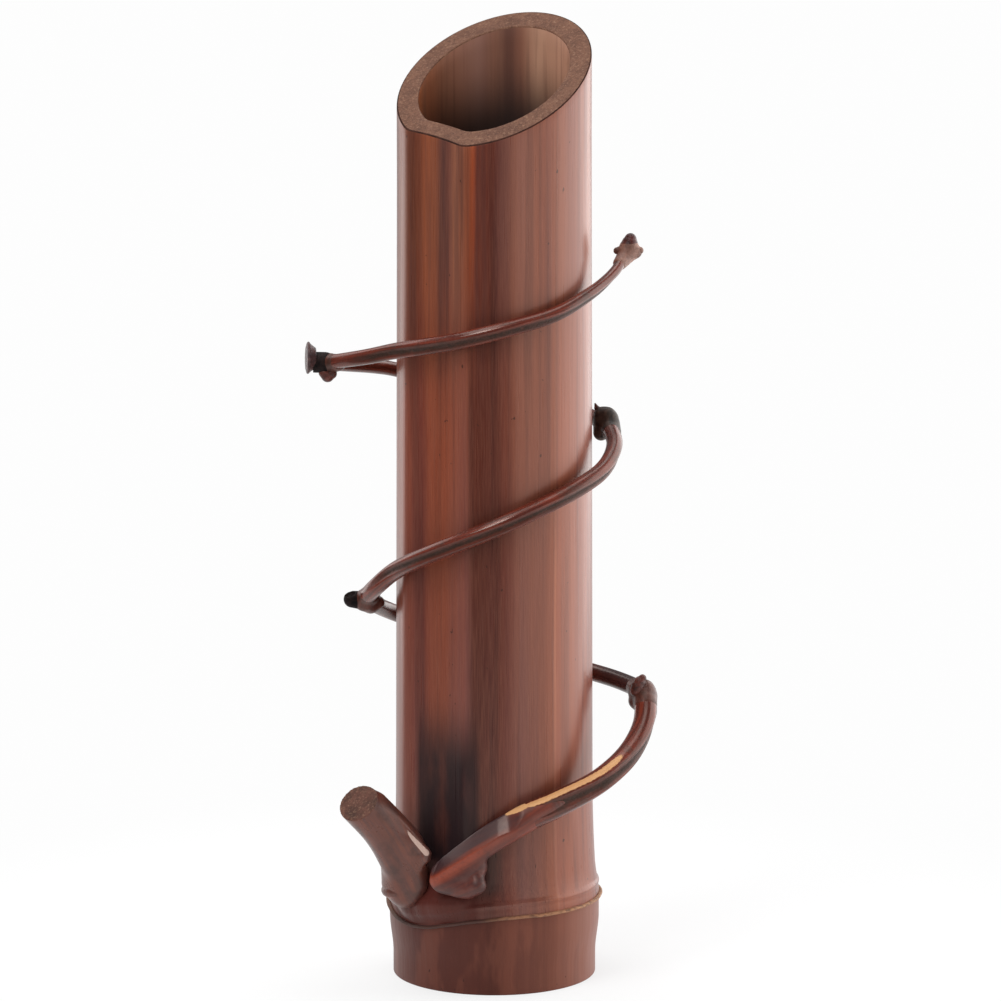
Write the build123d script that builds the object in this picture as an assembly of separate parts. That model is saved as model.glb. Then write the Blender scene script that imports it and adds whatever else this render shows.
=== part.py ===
from build123d import *
import os
from math import acos, ceil, cos, pi, radians, sin, tan

os.makedirs("parts", exist_ok=True)

# Millimetres, +Z up. The origin is the centre of the foot's underside.
# A turn is an angle round the culm in degrees, 0 at the front and 90 at the right.

# Culm, the upright hollow stem
culm_mouth_radius = 35.1
culm_taper = 1.1
culm_wall = 7.8
culm_flare = 0.95
culm_flare_height = 32.0
culm_flare_shares = (0, 0.25, 0.5, 1)

# Mouth, one slanted saw cut across the culm
mouth_axis_height = 330.9
mouth_tilt = 30.1
mouth_high_turn = 152.5
mouth_straight = 5.0

# Groove, the shallow channel that runs up the culm above its branches
groove_turn = -41.0
groove_depth = 3.2
groove_radius = 120.0
groove_shoulder_radius = 9.0
groove_bulge = 2.0
groove_bulge_shoulder_radius = 8.0

# Foot, the short rest of the culm under its node
foot_height = 22.0
foot_swell = 1.0
foot_straight_share = 0.5

# Node, the thick joint of the culm, with its cross wall
node_height = 18.0
node_swell = 2.3
node_wall_swell = 0.7
node_ridge_share = 0.62
diaphragm_height = 26.0
diaphragm_thickness = 4.5
diaphragm_dome = 1.6
diaphragm_crown_share = 0.45

# Sheath scar, the thin collar that the fallen sheath left round the node
scar_stand_out = 1.5
scar_height = 29.0
scar_thickness = 1.2
scar_dip = 6.5
scar_dip_turn = -52.0

# Branch boss, the swelling on the node that both branches grow from
boss_turn = -40.0
boss_spread = 31.0
boss_height = 33.4
boss_half_height = 9.2
boss_thickness = 4.6

# Short branch, sawn off near the culm
stub_turn = -53.0
stub_base_height = 37.0
stub_stand_off = 2.6
stub_radius = 8.3
stub_rise = 35.0
stub_lean = 21.6
stub_out_shares = (0, 0.04, 0.19, 0.52, 1)
stub_up_shares = (0, 0.18, 0.37, 0.68, 1)
stub_radius_shares = (1, 0.99, 0.97, 0.94, 0.93)
stub_cut_tilt = 42.0
stub_cut_turn = -36.0
stub_collar_height = 3.4
stub_collar_swell = 0.7
stub_root_length = 6.0
stub_root_share = 0.55

# Long branch, bent to wind upward round the culm
branch_radius = 5.0
branch_groove_share = 0.22
branch_groove_half_angle = 36.0
branch_groove_run_share = 0.15
branch_station_turn = 15.0
branch_bend_step = 32.0
winding_low_height = 56.5
winding_rise = 210.0
winding_stand_off = 24.0
seat_clearance = 0.5

# Where the long branch turns: turn, share of the stand-off and share of the rise
knuckle_place_shares = (
    (97.0, 0.63, 0.224),
    (269.0, 0.34, 0.395),
    (469.0, 0.2, 0.693),
    (630.0, 0.97, 0.812),
)
branch_low_place_shares = (-2.0, 0, 0)
branch_end_place_shares = (816.0, 0.41, 1)
knuckle_bend_radius = 6.4
knuckle_radius_shares = (1.12, 0.9, 1.08, 0.86)

# Route of each internode: turn, share of the stand-off and share of its own rise
internode_route_shares = (
    (
        (12.0, 0.0, 0.18),
        (29.0, 0.0, 0.27),
        (44.0, 0.05, 0.35),
        (60.0, 0.22, 0.47),
        (76.0, 0.42, 0.62),
        (88.0, 0.58, 0.81),
    ),
    (
        (112.0, 0.38, 0.05),
        (130.0, 0.18, 0.09),
        (155.0, 0.01, 0.18),
        (182.0, 0.0, 0.32),
        (210.0, 0.02, 0.49),
        (238.0, 0.19, 0.73),
    ),
    (
        (283.0, 0.18, 0.11),
        (295.0, 0.03, 0.22),
        (316.0, 0.0, 0.33),
        (340.0, 0.0, 0.45),
        (364.0, 0.0, 0.565),
        (388.0, 0.0, 0.67),
        (410.0, 0.02, 0.745),
        (432.0, 0.11, 0.82),
        (452.0, 0.19, 0.92),
    ),
    (
        (490.0, 0.12, 0.07),
        (516.0, 0.02, 0.18),
        (550.0, 0.0, 0.36),
        (580.0, 0.06, 0.57),
        (596.0, 0.24, 0.74),
    ),
    (
        (647.0, 0.35, 0.12),
        (660.0, 0.1, 0.2),
        (680.0, 0.0, 0.28),
        (705.0, 0.0, 0.38),
        (730.0, 0.0, 0.495),
        (755.0, 0.0, 0.59),
        (777.0, 0.01, 0.7),
        (795.0, 0.1, 0.79),
        (808.0, 0.26, 0.9),
    ),
)

# Thickness of each internode at its start, middle and end
internode_radius_shares = (
    (0.98, 0.88, 0.82),
    (0.66, 0.62, 0.62),
    (0.62, 0.67, 0.58),
    (0.56, 0.54, 0.52),
    (0.5, 0.6, 0.34),
)

# Elbow, where the long branch leaves the boss and is folded hard back over itself
elbow_turn = -32.0
elbow_rise = 14.5
elbow_turn_shares = (0, 0.2, 0.42, 0.7, 1)
elbow_rise_shares = (0, 0.13, 0.31, 0.6, 1)
elbow_radius_shares = (0.45, 0.95, 1.12, 1.1, 0.98)
heel_turn_shares = (0.1, 0.3, 0.55, 0.8, 0.98)
heel_radius_shares = (0.4, 0.82, 0.92, 0.9, 0.45)
heel_height = 37.5
heel_stand_off = 3.4

# Buds and twig stubs: each one's reach beyond its knuckle, its radius and its direction
bud_height = 3.0
bud_radius = 2.6
bud_direction_shares = (-0.2, 0, 1)
low_twig_length = 3.8
low_twig_radius = 3.2
low_twig_direction_shares = (-1, -0.2, 0.1)
spike_height = 4.0
spike_radius = 1.7
spike_direction_shares = (-0.35, 0.3, 1)
high_twig_length = 3.8
high_twig_radius = 3.4
high_twig_direction_shares = (-1, 0, 0.05)
hanging_bud_length = 2.2
hanging_bud_radius = 2.7
hanging_bud_direction_shares = (0.15, 0, -1)
flare_radius = 5.4
flare_thickness = 3.0
crown_share = 0.6
twig_end_share = 0.92
growth_lean_share = 0.06

# Tip, the swollen end of the long branch
tip_length = 8.6
tip_lean = 0.6
tip_reach_shares = (0, 0.3, 0.6, 0.86, 1)
tip_swell_shares = (0.34, 0.48, 0.58, 0.48, 0.26)
prong_length = 3.0
prong_radius = 1.8
prong_direction_shares = (1, -0.2, 0.1)
tip_bud_length = 1.2
tip_bud_radius = 1.6
tip_bud_direction_shares = (-1, 0, -0.2)


culm_low_radius = culm_mouth_radius + culm_taper
culm_bore_radius = culm_mouth_radius - culm_wall
foot_radius = culm_low_radius + foot_swell
node_radius = culm_low_radius + node_swell
node_bore_radius = culm_bore_radius - node_wall_swell
scar_radius = node_radius + scar_stand_out
node_top = foot_height + node_height
mouth_drop = culm_mouth_radius * tan(radians(mouth_tilt))
taper_top = mouth_axis_height - mouth_drop - mouth_straight
culm_height = mouth_axis_height + 2 * mouth_drop


def around(turn, reach, height=0):
    """The point at a turn round the culm, a reach from its axis and a height."""
    return Vector(reach * sin(radians(turn)), -reach * cos(radians(turn)), height)


def culm_radius(height):
    """Outer radius of the culm, which flares to its node and narrows to its mouth."""
    taper_share = min((height - node_top) / (taper_top - node_top), 1)
    flare_share = max(1 - (height - node_top) / culm_flare_height, 0)
    return culm_low_radius - culm_taper * taper_share + culm_flare * flare_share**2


def grooved_section(radius, depth, hollow_radius, shoulder_radius, height):
    """A round cross section with one shallow groove, made of arcs that run smoothly on."""
    hollow_reach = radius - depth + hollow_radius
    shoulder_reach = radius - shoulder_radius
    span = hollow_radius + shoulder_radius
    cosine = (shoulder_reach**2 + hollow_reach**2 - span**2) / (2 * shoulder_reach * hollow_reach)
    spread = acos(cosine)
    hollow = Vector(hollow_reach, 0)
    arcs = []
    lips = []
    for side in (1, -1):
        shoulder = Vector(shoulder_reach * cos(spread), side * shoulder_reach * sin(spread))
        inward = (hollow - shoulder).normalized()
        outward = shoulder.normalized()
        lip = shoulder + inward * shoulder_radius
        middle = shoulder + (inward + outward).normalized() * shoulder_radius
        rim = outward * radius
        arcs.append(ThreePointArc(lip, middle, rim))
        lips.append(lip)
    arcs.append(ThreePointArc(lips[0], Vector(radius - depth, 0), lips[1]))
    back = [spread + (2 * pi - 2 * spread) * step / 6 for step in range(7)]
    rim_points = [Vector(radius * cos(angle), radius * sin(angle)) for angle in back]
    for first in (0, 2, 4):
        arcs.append(ThreePointArc(*rim_points[first:first + 3]))
    place = Plane((0, 0, height), x_dir=around(groove_turn, 1), z_dir=(0, 0, 1))
    return place * make_face(arcs)


def turned(outline):
    """A solid of revolution round the culm's axis, from corners of radius and height."""
    return revolve(Plane.XZ * make_face(Polyline(*outline, close=True)), Axis.Z)


def largest(shape):
    """The main solid of a cut shape."""
    return shape.solids().sort_by(SortBy.VOLUME)[-1]


def seated(piece, *carriers):
    """A piece cut to sit face to face on the pieces that carry it."""
    for carrier in carriers:
        piece -= carrier
    return largest(piece)


def culm_blank():
    """The culm tube's outer form, solid, before the mouth is cut."""
    heights = [node_top + culm_flare_height * share for share in culm_flare_shares]
    heights.append(taper_top)
    sections = [
        grooved_section(culm_radius(height), groove_depth + culm_radius(height) - culm_mouth_radius,
                        groove_radius, groove_shoulder_radius, height)
        for height in heights
    ]
    top = extrude(sections[-1], amount=culm_height - taper_top)
    return loft(sections, ruled=True) + top


def culm_tube(blank):
    """The tall internode: grooved outside, hollow, and sawn on a slant at the mouth."""
    bulge_radius = groove_radius + culm_wall
    bore = grooved_section(culm_bore_radius, groove_bulge, bulge_radius, groove_bulge_shoulder_radius, node_top)
    hollow = extrude(bore, amount=culm_height - node_top)
    uphill = around(mouth_high_turn, sin(radians(mouth_tilt)))
    normal = Vector(0, 0, cos(radians(mouth_tilt))) - uphill
    mouth = Plane((0, 0, mouth_axis_height), z_dir=normal)
    return split(blank - hollow, bisect_by=mouth, keep=Keep.BOTTOM)


def foot_ring():
    """The foot: a short open ring of the culm's wall that the vase stands on."""
    return turned([
        (culm_bore_radius, 0),
        (foot_radius, 0),
        (foot_radius, foot_height * foot_straight_share),
        (node_radius, foot_height),
        (culm_bore_radius, foot_height),
    ])


def node_ring():
    """The culm's node: a ring of thicker wall that stands proud between foot and tube."""
    return turned([
        (node_bore_radius, foot_height),
        (node_radius, foot_height),
        (node_radius, foot_height + node_height * node_ridge_share),
        (culm_radius(node_top), node_top),
        (node_bore_radius, node_top),
    ])


def node_diaphragm():
    """The raised cross wall that closes the bore and is the vase's floor."""
    top = diaphragm_height + diaphragm_thickness
    crown = top + diaphragm_dome
    return turned([
        (0, diaphragm_height),
        (node_bore_radius, diaphragm_height),
        (node_bore_radius, top),
        (node_bore_radius * diaphragm_crown_share, crown),
        (0, crown),
    ])


def sheath_scar():
    """The thin collar round the node, which dips in a smooth wave under the branches."""
    half_share = 0.5
    low = scar_height - scar_dip
    half_low = scar_height - scar_dip * half_share
    reach = scar_radius * half_share

    def wave(lift):
        points = [(-scar_radius, scar_height + lift), (-reach, half_low + lift), (0, low + lift),
                  (reach, half_low + lift), (scar_radius, scar_height + lift)]
        return Spline(*points, tangents=[(1, 0), (1, 0)])

    ends = [
        Line((side * scar_radius, scar_height), (side * scar_radius, scar_height + scar_thickness))
        for side in (-1, 1)
    ]
    facing = around(scar_dip_turn, 1)
    front = Plane((0, 0, 0), x_dir=around(scar_dip_turn + 90, 1), z_dir=facing)
    wavy = extrude(front * make_face([wave(0), wave(scar_thickness), *ends]), amount=scar_radius)
    level = Box(2 * scar_radius, scar_radius, scar_thickness, align=(Align.CENTER, Align.MIN, Align.MIN))
    level = Plane((0, 0, scar_height), x_dir=around(scar_dip_turn + 90, 1), z_dir=(0, 0, 1)) * level
    height = scar_dip + scar_thickness
    hoop = Cylinder(scar_radius, height, align=(Align.CENTER, Align.CENTER, Align.MIN))
    hoop -= Cylinder(node_radius, height, align=(Align.CENTER, Align.CENTER, Align.MIN))
    return largest(Pos(0, 0, low) * hoop & (wavy + level))


def branch_boss():
    """The low swelling on the node, rounded across by one cylinder and up and down by another."""
    crest = node_radius + boss_thickness
    reach = (crest**2 - node_radius**2) / 2 / (crest - node_radius * cos(radians(boss_spread)))
    across = Cylinder(crest - reach, 2 * crest)
    across = Plane(around(boss_turn, reach, boss_height)) * across
    rounding = (boss_half_height**2 + boss_thickness**2) / 2 / boss_thickness
    lying = Cylinder(rounding, 2 * crest)
    lying = Plane(around(boss_turn, crest - rounding, boss_height), z_dir=around(boss_turn + 90, 1)) * lying
    return across & lying


def round_section(place, tangent, side, radius, groove_share=0, cut=None):
    """A branch's cross section, of four arcs: grooved toward one side, or slid onto a cut."""
    across = (side - tangent * side.dot(tangent)).normalized()
    over = tangent.cross(across)

    def rim(angle, reach):
        point = place + (across * cos(angle) + over * sin(angle)) * reach
        if cut:
            point += tangent * ((place - point).dot(cut) / tangent.dot(cut))
        return point

    half = radians(branch_groove_half_angle)
    points = [rim(half + (2 * pi - 2 * half) * step / 6, radius) for step in range(7)]
    arcs = [ThreePointArc(*points[first:first + 3]) for first in (0, 2, 4)]
    arcs.append(ThreePointArc(points[6], rim(0, radius * (1 - groove_share)), points[0]))
    return make_face(arcs)


def winding_point(place, radius, low_height=winding_low_height, rise=winding_rise):
    """A point of the long branch's line, which clears the culm by the branch's own radius."""
    turn, stand_off_share, rise_share = place
    height = low_height + rise * rise_share
    reach = culm_radius(height) + radius + seat_clearance + winding_stand_off * stand_off_share
    return around(turn, reach, height)


def branch_bend(before, corner, after):
    """The arc that rounds one corner of the long branch's line."""
    toward = (corner - before).normalized()
    away = (after - corner).normalized()
    run = knuckle_bend_radius * tan(radians(toward.get_angle(away) / 2))
    return TangentArc(corner - toward * run, corner + away * run, tangent=toward)


def carried_sides(tangents):
    """One side for each section, outward at the middle and carried from there without a twist."""
    middle = len(tangents) // 2
    sides = [None] * len(tangents)
    place, tangent = tangents[middle]
    sides[middle] = Vector(place.X, place.Y, 0)
    for order in (range(middle + 1, len(tangents)), range(middle - 1, -1, -1)):
        side = sides[middle]
        for index in order:
            tangent = tangents[index][1]
            side = (side - tangent * side.dot(tangent)).normalized()
            sides[index] = side
    return sides


def branch_run(stations, radii, groove_shares=None, cut=None):
    """A length of branch through stations of place and tangent, with a radius at each."""
    sides = carried_sides(stations)
    last = len(stations) - 1
    sections = []
    for index, (place, tangent) in enumerate(stations):
        groove_share = groove_shares[index] if groove_shares else 0
        sections.append(round_section(place, tangent, sides[index], radii[index], groove_share,
                                      cut if index == last else None))
    return loft(sections, ruled=True)


def even_run(line, thickness, count, groove_share=0):
    """A length of branch through even stations of a line, grooved between its ends."""
    start, middle, end = thickness
    stations = []
    radii = []
    groove_shares = []
    for step in range(count + 1):
        share = step / count
        stations.append((line @ share, (line % share).normalized()))
        radii.append(start * (1 - share) * (1 - 2 * share) + 4 * middle * share * (1 - share)
                     + end * share * (2 * share - 1))
        groove_shares.append(groove_share * min(1, share / branch_groove_run_share,
                                                (1 - share) / branch_groove_run_share))
    return branch_run(stations, radii, groove_shares)


def pointed_run(points, radii, tangents, cut=None):
    """A length of branch through a few chosen points of a smooth line."""
    line = Spline(*points, tangents=tangents)
    stations = [(point, (line % line.param_at_point(point)).normalized()) for point in points]
    return branch_run(stations, radii, cut=cut)


def growth(centre, direction_shares, stages):
    """A bud or twig stub on a knuckle, from stages of reach and radius, which leans a little."""
    direction = Vector(direction_shares).normalized()
    lean = direction.cross(Vector(0, 1, 0)).normalized() * growth_lean_share
    sections = [
        Plane(centre + direction * reach + lean * (reach - stages[0][0]), z_dir=direction) * Circle(radius)
        for reach, radius in stages
    ]
    return loft(sections, ruled=True)


def bud_stages(swell, height, radius):
    """Stages of a bud that is round-ended, from the middle of its knuckle outward."""
    crown = radius * crown_share
    reach = swell + height
    return [(0, radius), (reach - radius + crown, radius), (reach, crown)]


parts = {}
blank = culm_blank()
parts["culm_tube"] = culm_tube(blank)
parts["foot_ring"] = foot_ring()
parts["node_ring"] = node_ring()
parts["node_diaphragm"] = node_diaphragm()
parts["sheath_scar"] = sheath_scar()
wall = (parts["foot_ring"], parts["node_ring"], blank, parts["sheath_scar"])
bore = Cylinder(culm_bore_radius, node_top, align=(Align.CENTER, Align.CENTER, Align.MIN))
parts["branch_boss"] = seated(branch_boss(), bore, *wall)

# The sawn stub leans out over its collar
stub_reach = culm_radius(stub_base_height) + stub_stand_off
stub_points = [
    around(stub_turn, stub_reach + stub_lean * out_share, stub_base_height + stub_rise * up_share)
    for out_share, up_share in zip(stub_out_shares, stub_up_shares)
]
collar_base = stub_points[0] - Vector(0, 0, stub_collar_height)
collar_stages = (
    (-stub_root_length, stub_radius * stub_root_share),
    (0, stub_radius + stub_collar_swell),
    (stub_collar_height, stub_radius + stub_collar_swell),
)
collar = growth(collar_base, (0, 0, 1), collar_stages)
parts["stub_collar"] = seated(collar, *wall, parts["branch_boss"])
stub_cut = around(stub_cut_turn, sin(radians(stub_cut_tilt)), cos(radians(stub_cut_tilt)))
stub_radii = [stub_radius * share for share in stub_radius_shares]
stub_tangents = [Vector(0, 0, 1), stub_points[-1] - stub_points[-2]]
stub = pointed_run(stub_points, stub_radii, stub_tangents, stub_cut)
parts["branch_stub"] = seated(stub, *wall, parts["branch_boss"], parts["stub_collar"])

# The long branch's line, corner by corner
thick = [[branch_radius * share for share in shares] for shares in internode_radius_shares]
elbow_end = winding_point(branch_low_place_shares, thick[0][0])
branch_end = winding_point(branch_end_place_shares, thick[4][2])
corners = [winding_point(place, thick[index][2]) for index, place in enumerate(knuckle_place_shares)]
stops = [elbow_end, *corners, branch_end]
routes = []
for index, route in enumerate(internode_route_shares):
    low = stops[index].Z
    rise = stops[index + 1].Z - low
    routes.append([winding_point(place, max(thick[index]), low, rise) for place in route])
bends = [
    branch_bend(routes[index][-1], corner, routes[index + 1][0])
    for index, corner in enumerate(corners)
]
lines = []
for index, route in enumerate(routes):
    points = list(route)
    first = bends[index - 1] @ 1 if index else elbow_end
    last = bends[index] @ 0 if index < len(bends) else branch_end
    leaving = bends[index - 1] % 1 if index else points[0] - elbow_end
    arriving = bends[index] % 0 if index < len(bends) else branch_end - points[-1]
    lines.append(Spline(first, *points, last, tangents=[leaving, arriving]))

# Internodes, the straight-grained lengths between the knuckles
place_shares = [branch_low_place_shares, *knuckle_place_shares, branch_end_place_shares]
for index, line in enumerate(lines):
    count = ceil((place_shares[index + 1][0] - place_shares[index][0]) / branch_station_turn)
    name = f"branch_internode_{index + 1}"
    parts[name] = even_run(line, thick[index], count, branch_groove_share)

# Knuckles, the swollen nodes where the branch was bent
swells = [branch_radius * share for share in knuckle_radius_shares]
for index, bend in enumerate(bends):
    count = ceil((bend % 0).get_angle(bend % 1) / branch_bend_step)
    thickness = (thick[index][2], swells[index], thick[index + 1][0])
    parts[f"branch_knuckle_{index + 1}"] = even_run(bend, thickness, count)

# The elbow's upper leg runs on into the first internode, and its heel lies on the boss
elbow_span = branch_low_place_shares[0] - elbow_turn
elbow_base = winding_low_height - elbow_rise
elbow_points = [
    winding_point((elbow_turn + elbow_span * turn_share, 0, rise_share), thick[0][0], elbow_base, elbow_rise)
    for turn_share, rise_share in zip(elbow_turn_shares, elbow_rise_shares)
]
heel_points = [
    around(elbow_turn + elbow_span * share, culm_radius(heel_height) + heel_stand_off, heel_height)
    for share in heel_turn_shares
]
elbow_radii = [branch_radius * share for share in elbow_radius_shares]
heel_radii = [branch_radius * share for share in heel_radius_shares]
elbow = pointed_run(elbow_points, elbow_radii, [elbow_points[1] - elbow_points[0], lines[0] % 0])
heel_tangents = [heel_points[1] - heel_points[0], heel_points[-1] - heel_points[-2]]
elbow += pointed_run(heel_points, heel_radii, heel_tangents)
elbow_carriers = [parts[name] for name in ("branch_boss", "stub_collar", "branch_stub")]
parts["branch_elbow"] = seated(elbow, *wall, *elbow_carriers)

# The tip swells and ends in a rounded stump
tip_direction = (lines[4] % 1).normalized()
tip_points = [
    branch_end + tip_direction * tip_length * reach_share + Vector(0, 0, tip_lean * reach_share**2)
    for reach_share in tip_reach_shares
]
tip_radii = [branch_radius * share for share in tip_swell_shares]
parts["branch_tip"] = pointed_run(tip_points, tip_radii, [tip_direction, tip_points[-1] - tip_points[-2]])

# Buds and twig stubs on the knuckles, each seated on its own knuckle
low_twig = swells[1] + low_twig_length
high_twig = swells[3] + high_twig_length
knuckle_growths = (
    ("knuckle_1_bud", 0, bud_direction_shares, bud_stages(swells[0], bud_height, bud_radius)),
    ("knuckle_2_twig", 1, low_twig_direction_shares,
     [(0, low_twig_radius * twig_end_share), (low_twig, low_twig_radius)]),
    ("knuckle_3_spike", 2, spike_direction_shares, bud_stages(swells[2], spike_height, spike_radius)),
    ("knuckle_4_twig", 3, high_twig_direction_shares,
     [(0, high_twig_radius), (high_twig, high_twig_radius * twig_end_share)]),
    ("knuckle_4_flare", 3, high_twig_direction_shares,
     [(high_twig, flare_radius * twig_end_share), (high_twig + flare_thickness, flare_radius)]),
    ("knuckle_4_bud", 3, hanging_bud_direction_shares,
     bud_stages(swells[3], hanging_bud_length, hanging_bud_radius)),
)
for name, index, direction_shares, stages in knuckle_growths:
    knuckle = parts[f"branch_knuckle_{index + 1}"]
    neighbours = [parts[f"branch_internode_{number}"] for number in (index + 1, index + 2)]
    parts[name] = seated(growth(bends[index] @ 0.5, direction_shares, stages), knuckle, *neighbours)

# Two small ends on the tip
swell = branch_radius * max(tip_swell_shares)
tip_growths = (
    ("tip_prong", prong_direction_shares, bud_stages(swell, prong_length, prong_radius)),
    ("tip_bud", tip_bud_direction_shares, bud_stages(swell, tip_bud_length, tip_bud_radius)),
)
for name, direction_shares, stages in tip_growths:
    parts[name] = seated(growth(tip_points[2], direction_shares, stages), parts["branch_tip"])

for name, piece in parts.items():
    export_step(piece, f"parts/{name}.step")
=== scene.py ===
from math import cos, pi, radians, sin, tan

import bpy
import numpy as np
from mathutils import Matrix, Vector


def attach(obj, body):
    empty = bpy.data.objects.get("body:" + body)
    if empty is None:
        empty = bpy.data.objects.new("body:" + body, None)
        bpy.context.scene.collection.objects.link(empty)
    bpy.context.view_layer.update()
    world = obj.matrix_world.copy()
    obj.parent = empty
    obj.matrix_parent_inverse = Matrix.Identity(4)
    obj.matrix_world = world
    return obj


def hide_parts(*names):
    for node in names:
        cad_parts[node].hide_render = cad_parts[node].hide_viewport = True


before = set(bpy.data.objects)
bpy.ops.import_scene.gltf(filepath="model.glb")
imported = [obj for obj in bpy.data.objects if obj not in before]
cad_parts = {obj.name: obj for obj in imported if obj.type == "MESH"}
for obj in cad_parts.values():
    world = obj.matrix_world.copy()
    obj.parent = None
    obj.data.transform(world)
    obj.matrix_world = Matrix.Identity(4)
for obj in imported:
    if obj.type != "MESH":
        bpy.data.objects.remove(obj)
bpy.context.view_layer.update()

# Metres, in the frame of the CAD: +Z up, the origin at the centre of the foot's underside.
# A turn is an angle round the culm in degrees, 0 at the front and 90 at the right.
mm = 0.001

# Culm
culm_mouth_radius = 35.1 * mm
culm_taper = 1.1 * mm
culm_wall = 7.8 * mm
culm_flare = 0.95 * mm
culm_flare_height = 32.0 * mm
culm_low_radius = culm_mouth_radius + culm_taper
culm_bore_radius = culm_mouth_radius - culm_wall
mouth_axis_height = 330.9 * mm
mouth_tilt = 30.1
mouth_high_turn = 152.5
mouth_straight = 5.0 * mm
taper_top = mouth_axis_height - culm_mouth_radius * tan(radians(mouth_tilt)) - mouth_straight

# Groove of the culm, which fades out just above the node
groove_turn = -41.0
groove_depth = 3.2 * mm
groove_radius = 120.0 * mm
groove_shoulder_radius = 9.0 * mm
groove_bulge = 2.0 * mm
groove_bulge_shoulder_radius = 8.0 * mm
groove_fade = 9.0 * mm

# Foot, node and sheath scar
foot_height = 22.0 * mm
foot_radius = culm_low_radius + 1.0 * mm
foot_edge = 0.5 * mm
node_height = 18.0 * mm
node_top = foot_height + node_height
node_radius = culm_low_radius + 2.3 * mm
node_bore_radius = culm_bore_radius - 0.7 * mm
diaphragm_height = 26.0 * mm
diaphragm_thickness = 4.5 * mm
diaphragm_dome = 1.6 * mm
scar_height = 29.0 * mm
scar_thickness = 1.2 * mm
scar_dip = 6.5 * mm
scar_dip_turn = -52.0
ridge_lift = 4.4 * mm
ridge_swell = 0.5 * mm

# Sawn stub
stub_turn = -53.0
stub_base_height = 37.0 * mm
stub_stand_off = 2.6 * mm
stub_radius = 8.3 * mm
stub_rise = 35.0 * mm
stub_lean = 21.6 * mm
stub_out_shares = (0, 0.04, 0.19, 0.52, 1)
stub_up_shares = (0, 0.18, 0.37, 0.68, 1)
stub_radius_shares = (1, 0.99, 0.97, 0.94, 0.93)
stub_cut_tilt = 46.0
stub_cut_turn = -36.0

# Long branch
branch_radius = 5.0 * mm
winding_low_height = 56.5 * mm
winding_rise = 210.0 * mm
winding_stand_off = 24.0 * mm
seat_clearance = 0.5 * mm
knuckle_rounding = 3.2 * mm
line_step = 0.5 * mm

# The long branch's route: turn, share of the stand-off and share of the rise
knuckle_place_shares = (
    (97.0, 0.63, 0.224), (269.0, 0.34, 0.395), (469.0, 0.2, 0.693), (630.0, 0.97, 0.812),
)
branch_low_place_shares = (-2.0, 0, 0)
branch_end_place_shares = (816.0, 0.41, 1)
internode_route_shares = (
    ((12.0, 0.0, 0.18), (29.0, 0.0, 0.27), (44.0, 0.05, 0.35), (60.0, 0.22, 0.47), (76.0, 0.42, 0.62),
     (88.0, 0.58, 0.81)),
    ((112.0, 0.38, 0.05), (130.0, 0.18, 0.09), (155.0, 0.01, 0.18), (182.0, 0.0, 0.32), (210.0, 0.02, 0.49),
     (238.0, 0.19, 0.73)),
    ((283.0, 0.18, 0.11), (295.0, 0.03, 0.22), (316.0, 0.0, 0.33), (340.0, 0.0, 0.45), (364.0, 0.0, 0.565),
     (388.0, 0.0, 0.67), (410.0, 0.02, 0.745), (432.0, 0.11, 0.82), (452.0, 0.19, 0.92)),
    ((490.0, 0.12, 0.07), (516.0, 0.02, 0.18), (550.0, 0.0, 0.36), (580.0, 0.06, 0.57), (596.0, 0.24, 0.74)),
    ((647.0, 0.35, 0.12), (660.0, 0.1, 0.2), (680.0, 0.0, 0.28), (705.0, 0.0, 0.38), (730.0, 0.0, 0.495),
     (755.0, 0.0, 0.59), (777.0, 0.01, 0.7), (795.0, 0.1, 0.79), (808.0, 0.26, 0.9)),
)
internode_radius_shares = (
    (0.98, 0.88, 0.82), (0.66, 0.62, 0.62), (0.62, 0.67, 0.58), (0.56, 0.54, 0.52), (0.5, 0.6, 0.34),
)
knuckle_radius_shares = (1.12, 0.9, 1.08, 0.86)

# Where the first internode's tube starts inside the elbow, and how far back any tube may reach
hidden_start = 16 * mm
back_limit = 42.1 * mm
branch_columns = 64

# Ridge of the elbow: its height in millimetres by turn, its reach, and the slopes over and under it
elbow_ridge_turns = (-29.2, -24.2, -18.3, -8.1, 1.7, 8.9, 16.4, 22.3, 31.4)
elbow_ridge_heights = (44.6, 47.4, 50.6, 56.2, 61.2, 63.6, 65.6, 67.0, 69.0)
elbow_ridge_reach = 46.0 * mm
elbow_upper_slope = radians(42)
elbow_lower_slope = radians(26)


# Shapes and lines

def around(turn, reach, height=0.0):
    """The point at a turn round the culm, a reach from its axis and a height."""
    return np.array((reach * sin(radians(turn)), -reach * cos(radians(turn)), height))


def turn_of(points):
    return np.degrees(np.arctan2(points[..., 0], -points[..., 1]))


def reach_of(points):
    return np.hypot(points[..., 0], points[..., 1])


def full_turn(columns):
    return np.linspace(0, 2 * pi, columns, endpoint=False)


def wrapped(angle):
    """The same angle within half a turn of nought."""
    return (angle + pi) % (2 * pi) - pi


def culm_radius(height):
    """Outer radius of the culm, which flares to its node and narrows to its mouth."""
    taper_share = np.minimum((height - node_top) / (taper_top - node_top), 1)
    flare_share = np.maximum(1 - (height - node_top) / culm_flare_height, 0)
    return culm_low_radius - culm_taper * taper_share + culm_flare * flare_share**2


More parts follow.
